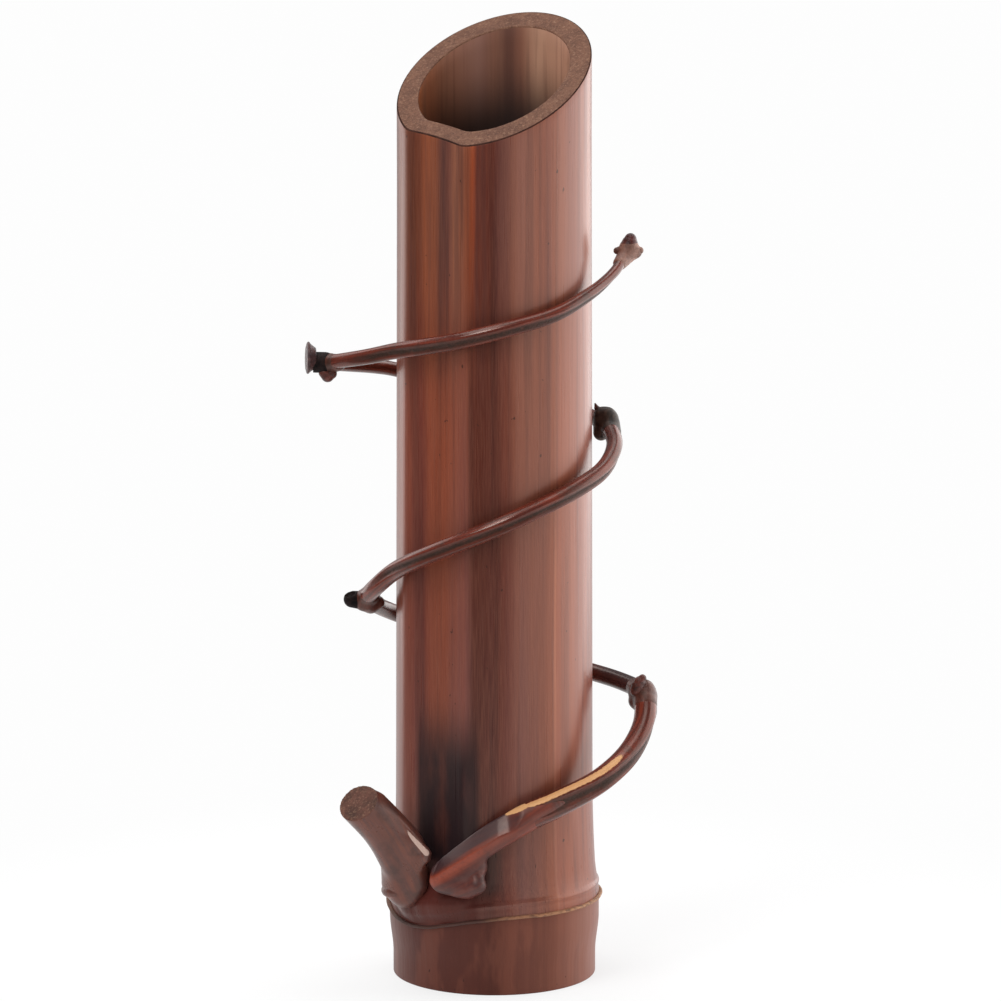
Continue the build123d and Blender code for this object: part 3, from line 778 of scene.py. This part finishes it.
def outer_radius(height, turn=turns):
    """Outer radius of the culm at a turn, from the foot's edge to the mouth."""
    height = np.asarray(height) + np.zeros(np.shape(turn))
    off_groove = wrapped(np.radians(turn - groove_turn))
    above = culm_radius(np.maximum(height, node_top))
    foot_share = smooth_step(height, foot_height * 0.35, foot_height)
    lower = foot_radius + (node_radius - foot_radius) * foot_share
    shoulder = smooth_step(height, foot_height + node_height * 0.45, node_top + 1.5 * mm)
    plain = lower + (above - lower) * shoulder
    ridge = scar_line(turn) + scar_thickness + ridge_lift
    plain = plain + ridge_swell * np.exp(-((height - ridge) / (0.9 * mm)) ** 2)
    edge = np.clip(1 - height / foot_edge, 0, 1)
    plain = plain - foot_edge * (1 - np.sqrt(1 - edge**2))
    depth = groove_depth + above - culm_mouth_radius
    grooved = grooved_radius(off_groove, above, depth, groove_radius, groove_shoulder_radius)
    share = smooth_step(height, node_top, node_top + groove_fade)
    return plain + (grooved - above) * share


def mouth_height(radius):
    """Height of the slanted mouth at every turn, at a radius."""
    return mouth_axis_height + tan(radians(mouth_tilt)) * radius * np.cos(angles - radians(mouth_high_turn))


def culm_ring(radius, height):
    return np.stack([radius * np.sin(angles), -radius * np.cos(angles), np.broadcast_to(height, angles.shape)], axis=1)


def culm_piece():
    """The culm from the foot's recess over the outer wall and the rim to the bore's foot."""
    rings, slots = [], []
    skin, sawn, inside, edge = range(4)
    rim_edge = 0.5 * mm

    def add(slot, radius, height):
        rings.append(culm_ring(radius, height))
        slots.append(slot)

    add(inside, node_bore_radius, diaphragm_height)
    add(inside, node_bore_radius, diaphragm_height - 1 * mm)
    add(inside, node_bore_radius, foot_height)
    add(inside, culm_bore_radius, foot_height - 0.5 * mm)
    add(inside, culm_bore_radius, 0.4 * mm)
    add(sawn, culm_bore_radius + 0.4 * mm, 0)
    for share in (0.3, 0.6, 0.9):
        add(sawn, culm_bore_radius + (foot_radius - culm_bore_radius) * share, 0)
    low_heights = np.concatenate([
        np.linspace(0, foot_edge, 6), np.linspace(foot_edge, foot_height, 18)[1:],
        np.linspace(foot_height, node_top, 60)[1:], np.linspace(node_top, node_top + culm_flare_height, 40)[1:],
    ])
    for height in low_heights:
        add(skin, outer_radius(height), height)
    start = low_heights[-1]
    top_radius = outer_radius(taper_top)
    top = mouth_height(top_radius)
    for share in np.linspace(0, 1, 90)[1:]:
        heights = start + (top - rim_edge - start) * share
        radius = outer_radius(start + (taper_top - start) * min(share * 1.12, 1))
        add(skin, radius, heights)
    for share in np.linspace(0, pi / 2, 5)[1:]:
        radius = top_radius - rim_edge * (1 - cos(share))
        add(edge if share < 1.5 else sawn, radius, mouth_height(radius) - rim_edge * (1 - sin(share)))
    bulge_radii = grooved_radius(groove_angles, culm_bore_radius, groove_bulge,
                                  groove_radius + culm_wall, groove_bulge_shoulder_radius)
    for share in np.linspace(0, 1, 8)[1:-1]:
        radius = top_radius - rim_edge + (bulge_radii + rim_edge - top_radius + rim_edge) * share
        add(sawn, radius, mouth_height(radius))
    for share in np.linspace(0, pi / 2, 4):
        radius = bulge_radii + rim_edge * (1 - sin(share))
        add(sawn, radius, mouth_height(radius) - rim_edge * (1 - cos(share)))
    slots[-1] = inside
    floor = diaphragm_height + diaphragm_thickness
    inner_top = mouth_height(bulge_radii) - rim_edge
    for share in np.linspace(0, 1, 60)[1:]:
        add(inside, bulge_radii, inner_top + (node_top - inner_top) * share)
    add(inside, node_bore_radius, node_top - 0.5 * mm)
    add(inside, node_bore_radius, floor)
    rings = np.array(rings)
    piece = mesh_piece("culm", rings.reshape(-1, 3), ring_faces(len(rings), culm_columns),
                       [skin_material, rim_material, bore_material, edge_material],
                       np.repeat(slots[:-1], culm_columns))
    place(piece, "bamboo_culm", "culm_tube", "foot_ring", "node_ring")


def floor_piece():
    """The cross wall, the vase's floor: slightly domed on top, flat below."""
    reach = node_bore_radius - 0.02 * mm
    low = diaphragm_height
    high = diaphragm_height + diaphragm_thickness
    outline = [(reach * share, low) for share in (0.02, 0.4, 0.8, 0.97)]
    outline += [(reach, low + 0.4 * mm), (reach, high - 0.3 * mm)]
    outline += [(reach * share, high + diaphragm_dome * (1 - share**2)) for share in (0.98, 0.8, 0.6, 0.4, 0.2, 0.02)]
    rings = np.array([culm_ring(radius, height) for radius, height in outline])[:, ::4]
    piece = tube_piece("cross_wall", rings, bore_material)
    place(piece, "bamboo_inside", "node_diaphragm")


def scar_piece():
    """The scar: a thin rubbed lip that runs round the node, which its material paints darker under the branches as
    shade.
    """
    # The lip's section: millimetres out from the node and up
    section = [(-0.4, 0.0), (0.7, 0.05), (1.2, 0.25), (1.4, 0.6), (1.15, 0.95), (0.4, 1.15), (-0.4, 1.3)]
    wear_and_glint = 0.95 + 0.06 * np.sin(angles * 11 + 1.3) * np.sin(angles * 5)
    waver = 0.12 * mm * np.sin(angles * 17) * np.sin(angles * 6 + 2)
    rings = [culm_ring(node_radius + out * mm * wear_and_glint, scar_line(turns) + up * mm + waver) for out, up in section]
    rings.append(rings[0])
    piece = mesh_piece("scar_lip", np.array(rings).reshape(-1, 3), ring_faces(len(rings), culm_columns),
                       [scar_material])
    place(piece, "sheath_scar", "sheath_scar")


# Branches

def winding_point(shares, radius, low_height=winding_low_height, rise=winding_rise):
    """A point of the long branch's line, which clears the culm by the branch's own radius."""
    turn, stand_off_share, rise_share = shares
    height = low_height + rise * rise_share
    reach = culm_radius(height) + radius + seat_clearance + winding_stand_off * stand_off_share
    return around(turn, reach, height)


thick = [[branch_radius * share for share in shares] for shares in internode_radius_shares]
corners = [winding_point(shares, thick[index][2]) for index, shares in enumerate(knuckle_place_shares)]
elbow_end = winding_point(branch_low_place_shares, thick[0][0])
branch_end = winding_point(branch_end_place_shares, thick[4][2])
stops = [elbow_end, *corners, branch_end]


def whole_route():
    """The long branch's line, with the run length and thickness of each station and where it turns."""
    runs = []
    for index, route in enumerate(internode_route_shares):
        low, rise = stops[index][2], stops[index + 1][2] - stops[index][2]
        points = [winding_point(shares, max(thick[index]), low, rise) for shares in route]
        runs.append(curve_through([stops[index], *points, stops[index + 1]]))
    line = np.concatenate([run[:-1] for run in runs] + [runs[-1][-1:]])
    ends = np.cumsum([len(run) - 1 for run in runs])
    line = softened(line, int(round(knuckle_rounding / line_step)))
    lengths = run_lengths(line)
    marks = [0.0, *lengths[ends[:-1]], lengths[-1]]
    radii = np.zeros(len(line))
    for index, (start, middle, end) in enumerate(thick):
        share = np.clip((lengths - marks[index]) / (marks[index + 1] - marks[index]), 0, 1)
        inside = (lengths >= marks[index]) & (lengths <= marks[index + 1])
        curve = (start * (1 - share) * (1 - 2 * share) + 4 * middle * share * (1 - share)
                 + end * share * (2 * share - 1))
        radii = np.where(inside, curve, radii)
    radii = softened(radii[:, None], 4)[:, 0]
    # The first stretch lies a little higher and is a little thicker
    low_lift, low_swell = 0.8 * mm, 0.07
    low_part = 1 - smooth_step(lengths, 30 * mm, 52 * mm)
    line[:, 2] += low_lift * low_part * smooth_step(lengths, 0, 8 * mm)
    radii = radii * (1 + low_swell * low_part)
    return line, lengths, marks, radii


route_line, route_lengths, route_marks, route_radii = whole_route()
knuckle_reach = (5.4 * mm, 4.0 * mm, 4.6 * mm, 4.0 * mm)
# Which internodes have raised lips beside their channel
lip_shares = (1, 0, 1, 0, 1)
# Each internode's channel: its middle at the low and the high end, in degrees down from outward, and its width
channel_leans = ((-28, 12, 0.42), (20, 20, 0.45), (8, 22, 0.4), (20, 20, 0.45), (14, 38, 0.55))
# The scraped stripe's place round the first internode, up from outward
bare_angle = radians(-70)


def route_place(length):
    return np.array([np.interp(length, route_lengths, route_line[:, axis]) for axis in range(3)])


def long_branch():
    """The internodes of the long branch: one swept line with a channel on its outer side."""
    ring_angles = full_turn(branch_columns)
    round_places = np.linspace(0, 1, branch_columns, endpoint=False) * (2 * pi * branch_radius)
    scraped = np.exp(-(wrapped(ring_angles - bare_angle) / 0.34) ** 2)
    for index, (start, end) in enumerate(zip(route_marks, route_marks[1:])):
        first = int(np.searchsorted(route_lengths, start + (hidden_start if index == 0 else 0)))
        last = min(int(np.searchsorted(route_lengths, end)) + 1, len(route_lengths))
        lengths = route_lengths[first:last]
        opening = within(lengths, start + 10 * mm, start + 26 * mm, end - 18 * mm, end - 6 * mm)
        low_lean, high_lean, width = channel_leans[index]
        lean = radians(low_lean) + radians(high_lean - low_lean) * smooth_step(lengths, start, end)
        off = wrapped(ring_angles[None, :] - lean[:, None])
        dent = np.exp(-(np.abs(off) / width) ** 3)
        lips = np.exp(-((np.abs(off) - width - 0.32) / 0.22) ** 2)
        hollow = opening[:, None] * dent
        shares = 1 - 0.3 * hollow + 0.02 * opening[:, None] * lips * lip_shares[index]
        shares = shares + 0.03 * np.sin(lengths / (1.9 * mm))[:, None] * np.sin(4 * ring_angles + 1)[None, :] * dent
        rings = swept_rings(route_line[first:last], route_radii[first:last], shares)
        rings[..., 1] = np.minimum(rings[..., 1], back_limit)
        piece = tube_piece(f"internode_{index + 1}", rings, branch_material)
        grain = np.broadcast_arrays(lengths[:, None], round_places, hollow)
        set_ring_values(piece, "grain", np.stack(grain, axis=-1))
        if index == 0:
            span = within(lengths, 2 * mm, 10 * mm, 56 * mm, 66 * mm)
            set_ring_values(piece, "scrape_and_highlight", span[:, None] * scraped)
        # Painted shadow over the start of the second internode, where it runs behind the culm.
        if index == 1:
            faded = 1 - smooth_step(lengths, start + 16 * mm, start + 30 * mm)
            set_ring_values(piece, "painted_shade", np.tile(faded[:, None], branch_columns))
        place(piece, "bamboo_branch", f"branch_internode_{index + 1}")


# Lumps of the knuckles and growths: millimetres right, back and up from the knuckle, and radius
knuckle_lumps = (
    (((1.5, 0, -0.9, 3.75), (1.0, -0.5, -5, 3.9)), ((-1.8, 1.8, -3.2, 3.5),),
     ((-1.5, 1, 1.2, 3.9), (0.6, 0.5, 1.4, 3.6))),
    (((0, 0, -1, 3.7), (1.5, 2, -2.6, 3.4)), ((-1.2, 0, -0.7, 3.5), (2, -2, 1.6, 3.1)),
     ((2.0, 1, -2.0, 3.0), (4.4, 1, -1.7, 2.3))),
    (((-1.9, 0.8, 3.7, 2.7), (-1.9, 0.8, -3.2, 2.9)), ((0.4, 0, 3.9, 2.6), (1.2, -0.6, 0.4, 2.9)),
     ((1.4, 0, 2.2, 3.0), (2.2, -2.5, -2.6, 3.2))),
    (((1, 0, -0.2, 3.2), (3.6, -2, 0.2, 2.9)), ((0.8, 0.5, -0.5, 3.3), (3.5, 2.6, -1.0, 2.4))),
)
growth_lumps = {
    "knuckle_1_bud": (0, ((-2.2, -1.6, 1.4, 2.7), (-1.5, -1.9, 4.0, 2.4), (-0.2, -2.0, 6.0, 1.5)), None),
    "knuckle_2_twig": (1, ((-2.6, 0, -0.6, 3.3), (-5.2, -0.4, -0.2, 3.1)), (-6.2, -1.2, 2.6, 2.3)),
    "knuckle_3_spike": (2, ((-2.4, 0.8, 4.6, 1.9), (-3.6, 0.8, 6.2, 0.9), (-4.1, 0.8, 7.6, 0.35)), None),
    "knuckle_4_twig": (3, ((-1.2, 0, 0.1, 3.8), (-5.0, 0, 0.2, 3.8)), (-45.4, 0, 0.3, 40)),
    "knuckle_4_bud": (3, ((-1.6, -0.8, -3.5, 2.0), (-0.2, -0.8, -4.7, 2.35), (1.2, -0.8, -3.9, 1.9)), None),
}
tip_lumps = (
    ((-1.6, -4.6, -3.0, 2.5), (0.2, -1.4, -1.2, 3.1), (1.2, 0, 0.6, 3.6), (1.9, 0.5, 3.0, 3.1), (2.3, 0.8, 5.0, 2.2)),
    ((1.5, 0, 0.2, 2.8), (4.2, 0.3, 0.4, 2.3)),
)
# How far above the branch's end the tip's darker dome starts
dome_start = 3.7 * mm
tip_growth_lumps = {
    "tip_bud": ((-0.8, 0, 0.9, 2.1), (-2.6, -0.2, 0.9, 1.3)),
    "tip_prong": ((4.2, 0, 0.9, 1.9), (5.7, 0, 1.0, 1.35)),
}


def knuckle_pieces():
    """The knuckles of the long branch, swollen where each branch bends, and what grows on them."""
    bases = [route_place(mark) for mark in route_marks[1:-1]]
    for index, (base, lumps, reach) in enumerate(zip(bases, knuckle_lumps, knuckle_reach)):
        mark = route_marks[index + 1]
        stations = [mark + share * reach for share in (-1, -0.5, 0, 0.5, 1)]
        swell = branch_radius * knuckle_radius_shares[index]
        own = [float(np.interp(station, route_lengths, route_radii)) for station in stations]
        run = [(*route_place(station), max(radius, swell * share) + 0.15 * mm)
               for station, radius, share in zip(stations, own, (0, 0.55, 0.62, 0.55, 0))]
        chains = [run] + [links_in_mm(base, links) for links in lumps]
        material = burl_material if index == 2 else knuckle_material
        piece = melted_piece(f"knuckle_{index + 1}", chains, 1.6 * mm, [material], 0.3 * mm)
        set_grain_along(piece, route_place(mark + reach) - route_place(mark - reach), 0.35)
        place(piece, "bamboo_knuckle", f"branch_knuckle_{index + 1}")
    for name, (index, links, hollow) in growth_lumps.items():
        base = bases[index]
        material = dark_material if "twig" in name else bud_material
        scoop = None
        if hollow:
            ball = links_in_mm(base, [hollow])

            def scoop(points, distance, ball=ball):
                return np.maximum(distance, -chain_distance(points, ball))
        piece = melted_piece(name, [links_in_mm(base, links)], 0.8 * mm, [material], 0.25 * mm, scoop)
        place(piece, "bamboo_knuckle", name)
    end = route_line[-1]
    chains = [links_in_mm(end, links) for links in tip_lumps]
    piece = melted_piece("branch_head", chains, 1.6 * mm, [tip_material, dome_material], 0.25 * mm)
    slots = [int(polygon.center[2] > end[2] + dome_start) for polygon in piece.data.polygons]
    piece.data.polygons.foreach_set("material_index", slots)
    place(piece, "bamboo_knuckle", "branch_tip")
    for name, links in tip_growth_lumps.items():
        piece = melted_piece(name, [links_in_mm(end, links)], 0.8 * mm, [tip_material], 0.2 * mm)
        place(piece, "bamboo_knuckle", name)
    flare_piece(bases[3])


def flare_piece(base):
    """The flared end of the high twig: a shallow dish with a sharp rim, pointed at its top."""
    outline = [(1.5, 3.7), (0.9, 4.1), (0, 4.7), (-0.7, 5.3), (-1.1, 5.75),
               (-1.6, 5.6), (-1.9, 4.6), (-2.0, 2.6), (-2.1, 0.3)]
    ring_angles = full_turn(branch_columns)
    axis = unit(np.array((1.0, 0.13, -0.03)))
    side = unit(np.cross((0, 0, 1.0), axis))
    over = np.cross(axis, side)
    point = 1 + 0.12 * np.exp(-((ring_angles - pi / 2 - 0.3) / 0.35) ** 2)
    rings = []
    for reach, radius in outline:
        centre = base + (np.array((-6.2, -0.2, 1.7)) + axis * reach) * mm
        out = radius * mm * (1 + (point - 1) * radius / 5.75)[:, None]
        rings.append(centre + out * (np.cos(ring_angles)[:, None] * side + np.sin(ring_angles)[:, None] * over))
    piece = tube_piece("twig_flare", np.array(rings), flare_material)
    place(piece, "bamboo_knuckle", "knuckle_4_flare")


def culm_distance(points):
    """Distance out from the culm's skin, near enough beside its node."""
    return reach_of(points) - outer_radius(points[..., 2], turn_of(points))


def boss_piece():
    """The swelling of the node under both branches, which rises smoothly from the culm."""
    swellings = [
        links_round([(-66, 34, 31, 4.8), (-54, 35, 30, 5.8), (-45, 35, 31, 5.4)]),
        links_round([(-40, 35.5, 32, 5.2), (-30, 35.5, 33, 5.6), (-20, 35.5, 34, 4.6)]),
        links_round([(-56, 34, 36, 5.0), (-50, 34, 38, 4.0)]),
    ]

    def on_culm(points, distance):
        skin = culm_distance(points)
        fillet = 3.0 * mm
        merged = melted(skin + 0.12 * mm, distance, fillet)
        floor = scar_line(turn_of(points)) + scar_thickness * 0.5 - points[..., 2]
        return np.maximum(np.maximum(merged, -skin - 1.5 * mm), floor)

    piece = melted_piece("branch_swelling", swellings, 2.0 * mm, [skin_material], 0.4 * mm, on_culm)
    place(piece, "bamboo_branch", "branch_boss")


def stub_line():
    reach = culm_radius(stub_base_height) + stub_stand_off
    return [
        around(stub_turn, reach + stub_lean * out, stub_base_height + stub_rise * up)
        for out, up in zip(stub_out_shares, stub_up_shares)
    ]


def stub_piece():
    """The sawn branch: its stem, a sharp ridge down its right side and a slanted cut."""
    places = stub_line()
    tangent = unit(places[-1] - places[-2])
    normal = around(stub_cut_turn, sin(radians(stub_cut_tilt)), cos(radians(stub_cut_tilt)))
    past_cut = 12 * mm
    line = curve_through([*places, places[-1] + tangent * past_cut], 1.5 * mm)
    lengths = run_lengths(line)
    wears = (0.92, 0.93, 0.93, 0.97, 1)
    stages = [stub_radius * share * 0.97 * wear for share, wear in zip(stub_radius_shares, wears)]
    radii = np.interp(lengths, np.linspace(0, lengths[-1] - past_cut, 5), stages)
    stem = [(*point, radius) for point, radius in zip(line, radii)]
    ridge = links_round([(-49.4, 54.6, 71.6, 1.2), (-47.2, 49.6, 66.4, 1.3), (-44.0, 46.2, 61.0, 1.4),
                         (-38.6, 44.0, 56.0, 1.6), (-34.6, 42.6, 52.4, 1.6), (-40.4, 41.0, 48.0, 1.8)])
    web = links_round([(-51.4, 54.4, 71.0, 3.8), (-48.2, 47.2, 61.2, 5.0), (-44.0, 43.0, 54.2, 4.9),
                       (-44.6, 40.6, 47.0, 4.3), (-45.4, 40.2, 40.0, 4.4)])
    spine = links_round([(-59.5, 41.4, 44.0, 5.4), (-59.5, 41.2, 38.5, 5.6)])

    def cut(points, distance):
        return np.maximum(distance, (points - places[-1]) @ normal)

    piece = melted_piece("sawn_stub", [stem, web, ridge, spine], [0, 3 * mm, 1.6 * mm, 3 * mm],
                         [stub_material, cut_material], 0.35 * mm, cut)
    mesh = piece.data
    middles = np.array([polygon.center for polygon in mesh.polygons])
    mesh.polygons.foreach_set("material_index", (((middles - places[-1]) @ normal) > -0.12 * mm).astype(np.int32))
    set_grain_along(piece, places[-1] - places[1])
    spots = points_of(piece)
    # Painted highlight: a pale strip down the ridge of the sawn branch, fading upward.
    wear_and_glint = links_round([(-45.4, 48.8, 65.4, 0.0), (-40.6, 46.6, 59.4, 0.0), (-34.0, 44.0, 53.2, 0.3)])
    faded = 0.45 + 0.5 * smooth_step(spots[:, 2], 64 * mm, 57 * mm)
    set_values(piece, "scrape_and_highlight", faded * (1 - smooth_step(chain_distance(spots, wear_and_glint), 0.2 * mm, 1.3 * mm)))
    place(piece, "bamboo_branch", "branch_stub")


def collar_piece():
    """The swollen ring at the foot of the sawn branch."""
    centre = around(stub_turn - 2.5, 38.8 * mm, 35.8 * mm)
    reach, lift = 7.0 * mm, 0.4 * mm
    ring = [(centre[0] + reach * sin(turn), centre[1] - reach * cos(turn), centre[2] + lift * cos(turn), 2.3 * mm)
            for turn in np.linspace(0, 2 * pi, 25)]
    core = [(*centre, 6.0 * mm), (*(centre + (0, 0, 1.5 * mm)), 6.0 * mm)]
    piece = melted_piece("stub_ring", [ring, core], 1.2 * mm, [stub_material], 0.35 * mm)
    set_grain_along(piece, (0, 0, 1), 0.1)
    set_values(piece, "warm", 0.4 * smooth_step(points_of(piece)[:, 2], 35.6 * mm, 34.4 * mm))
    place(piece, "bamboo_branch", "stub_collar")


def elbow_piece():
    """The folded start of the long branch: a ridged upper leg, a web and a rounded heel."""
    leg = links_round([(-28.4, 43.2, 43.4, 2.9), (-25.8, 42.2, 46.7, 4.5), (-18.8, 41.6, 50.7, 5.0),
                       (-11.6, 41.4, 54.5, 5.3), (-2.6, 41.3, 59.3, 5.3), (5.0, 41.5, 62.7, 5.3)])
    on_route = ((12, 5.2), (17, 5.1), (22, 4.6), (28, 3.9), (34, 2.8), (38, 1.8))
    leg += [(*route_place(length * mm), radius * mm) for length, radius in on_route]
    web = links_round([(-23.5, 41.0, 43.4, 4.4), (-16.0, 40.8, 45.6, 4.6),
                       (-9.6, 40.0, 49.0, 4.2), (-9.2, 41.4, 46.0, 3.1)])
    lobe = links_round([(-26.4, 41.6, 42.0, 3.2), (-20.0, 41.8, 41.4, 3.4), (-14.0, 41.2, 40.6, 3.2)])
    heel = links_round([(-17.0, 42.0, 41.2, 3.3), (-11.5, 42.4, 41.2, 3.1), (-8.2, 43.3, 42.7, 3.3)])
    top_heights = ((-25.8, 52.0), (-18.8, 56.1), (-11.6, 60.0), (-2.6, 64.9), (6.4, 69.2), (15.2, 72.6), (25.0, 75.0))

    def ridge_height(turn):
        return np.interp(turn, elbow_ridge_turns, elbow_ridge_heights) * mm

    def ridged(points, distance):
        turn = turn_of(points)
        out = reach_of(points) - elbow_ridge_reach
        up = points[..., 2] - ridge_height(turn)
        above = out * cos(elbow_upper_slope) + up * sin(elbow_upper_slope)
        below = out * cos(elbow_lower_slope) - up * sin(elbow_lower_slope)
        wedge = -melted(-above, -below, 0.7 * mm) - 5 * mm * smooth_step(turn, 6, 18)
        return -melted(-distance, -wedge, 0.8 * mm)

    piece = melted_piece("elbow", [leg, web, lobe, heel], [0, 2.6 * mm, 2.6 * mm, 1.9 * mm],
                         [elbow_material], 0.3 * mm, first_shape=ridged)
    set_grain_along(piece, (0.85, 0, 0.5))
    spots = points_of(piece)
    turn = turn_of(spots)
    tops = np.array(top_heights)
    down = np.interp(turn, tops[:, 0], tops[:, 1] * mm) - spots[:, 2]
    stripe = 0.9 * (1 - smooth_step(down, 0.5 * mm, 2.0 * mm)) * smooth_step(turn, 1, 10)
    set_values(piece, "scrape_and_highlight", stripe)
    under = ridge_height(turn) - spots[:, 2]
    # Painted highlight: an orange-red line just under the ridge, on the elbow's front.
    front = smooth_step(reach_of(spots), 42.5 * mm, 45 * mm) * (1 - smooth_step(turn, -14, 12) * 0.7)
    set_values(piece, "warm", front * within(under, -1.2 * mm, 0.2 * mm, 1.6 * mm, 4.4 * mm))
    # Painted shade on the left of the elbow's upper face and on its lower face.
    upper = smooth_step(under, -0.9 * mm, -2.4 * mm) * (1 - smooth_step(turn, 2, 16))
    set_values(piece, "painted_shade", np.maximum(upper, 0.5 * smooth_step(under, 3.4 * mm, 6.0 * mm)))
    place(piece, "bamboo_branch", "branch_elbow")


culm_piece()
floor_piece()
scar_piece()
boss_piece()
collar_piece()
stub_piece()
elbow_piece()
long_branch()
knuckle_pieces()


# Stage, light and camera

def stage():
    """A pale sheet of paper that runs back behind the vase; its far parts show as white."""
    corners = ((-0.32, -0.45, 0), (0.32, -0.45, 0), (0.66, 4.5, 0), (-0.66, 4.5, 0))
    mesh = bpy.data.meshes.new("studio_floor")
    mesh.from_pydata(corners, [], [(0, 1, 2, 3)])
    floor = scene_object("studio_floor", mesh)
    n = Nodes("floor_paint")
    n.finish((0.82, 0.82, 0.82, 1), 0.9, specular=0.1)
    glow = n.add("ShaderNodeEmission")
    glow.inputs["Color"].default_value = (0.985, 0.985, 0.985, 1)
    rays = n.add("ShaderNodeLightPath").outputs
    seen = n.math("MAXIMUM", rays["Is Camera Ray"], rays["Is Glossy Ray"])
    seen = n.math("MAXIMUM", seen, rays["Is Transmission Ray"])
    reach = n.add("ShaderNodeVectorMath", operation="LENGTH")
    n.link(n.place, reach.inputs[0])
    share = n.range(reach.outputs["Value"], 0.06, 0.3, 0.72, 1.0)
    blend = n.add("ShaderNodeMixShader")
    n.link(n.times(seen, share), blend.inputs[0])
    n.link(n.shader.outputs[0], blend.inputs[1])
    n.link(glow.outputs[0], blend.inputs[2])
    output = next(node for node in n.tree.nodes if node.bl_idname == "ShaderNodeOutputMaterial")
    n.link(blend.outputs[0], output.inputs["Surface"])
    mesh.materials.append(n.material)


def area_lamp(name, size, energy, spot, facing=None):
    light = bpy.data.lights.new(name, "AREA")
    light.size, light.energy = size, energy
    lamp = scene_object(name, light)
    lamp.location = spot
    if facing is not None:
        lamp.rotation_euler = Vector(facing).to_track_quat("-Z", "Y").to_euler()
    return lamp


def softbox(name, turn, reach, low, high, width, radiance, glossy=True):
    """An upright studio light round the vase, from a low to a high edge."""
    energy = radiance * pi * width * (high - low)
    lamp = area_lamp(name, width, energy, around(turn, reach, (low + high) / 2), -around(turn, 1.0))
    lamp.data.shape = "RECTANGLE"
    lamp.data.size_y = high - low
    lamp.visible_glossy = glossy


def studio():
    world = bpy.data.worlds.new("studio_air")
    bpy.context.scene.world = world
    world.use_nodes = True
    air = world.node_tree.nodes["Background"].inputs
    air["Color"].default_value = (1, 1, 1, 1)
    air["Strength"].default_value = 0.22
    softbox("key", 116, 0.9, -0.45, 1.2, 1.6, 2.5)
    softbox("side_card", 50, 1.5, -0.6, 0.5, 1.2, 1.3)
    softbox("back_card", -131, 0.9, -0.4, 1.0, 0.56, 1.7)
    softbox("back_glow", -164, 0.9, -0.4, 1.0, 0.45, 0.25)
    softbox("fill", -38, 2.0, 0.3, 1.9, 1.6, 2.7, glossy=False)
    hair_place = Vector((-0.6, -0.7, 1.4))
    area_lamp("hair", 0.55, 9, hair_place, Vector((0, 0, 0.15)) - hair_place)
    area_lamp("top", 1.3, 15, (-0.15, 0.3, 1.6))


def camera():
    """The photo's view: from the front, a little above, with a long lens."""
    distance = 2.4
    elevation = radians(11.0)
    target_height = 176.2 * mm
    sideways = 2.27 * mm
    # Focal length over sensor width, both in pixels of the photo
    focal_share = 6593 / 1001
    lens = bpy.data.cameras.new("photo_view")
    lens.sensor_width = 36
    lens.lens = 36 * focal_share
    eye = scene_object("photo_view", lens)
    eye.location = (sideways, -distance * cos(elevation), target_height + distance * sin(elevation))
    eye.rotation_euler = (pi / 2 - elevation, 0, 0)
    bpy.context.scene.camera = eye
    bpy.context.scene.view_settings.view_transform = "Standard"


stage()
studio()
camera()
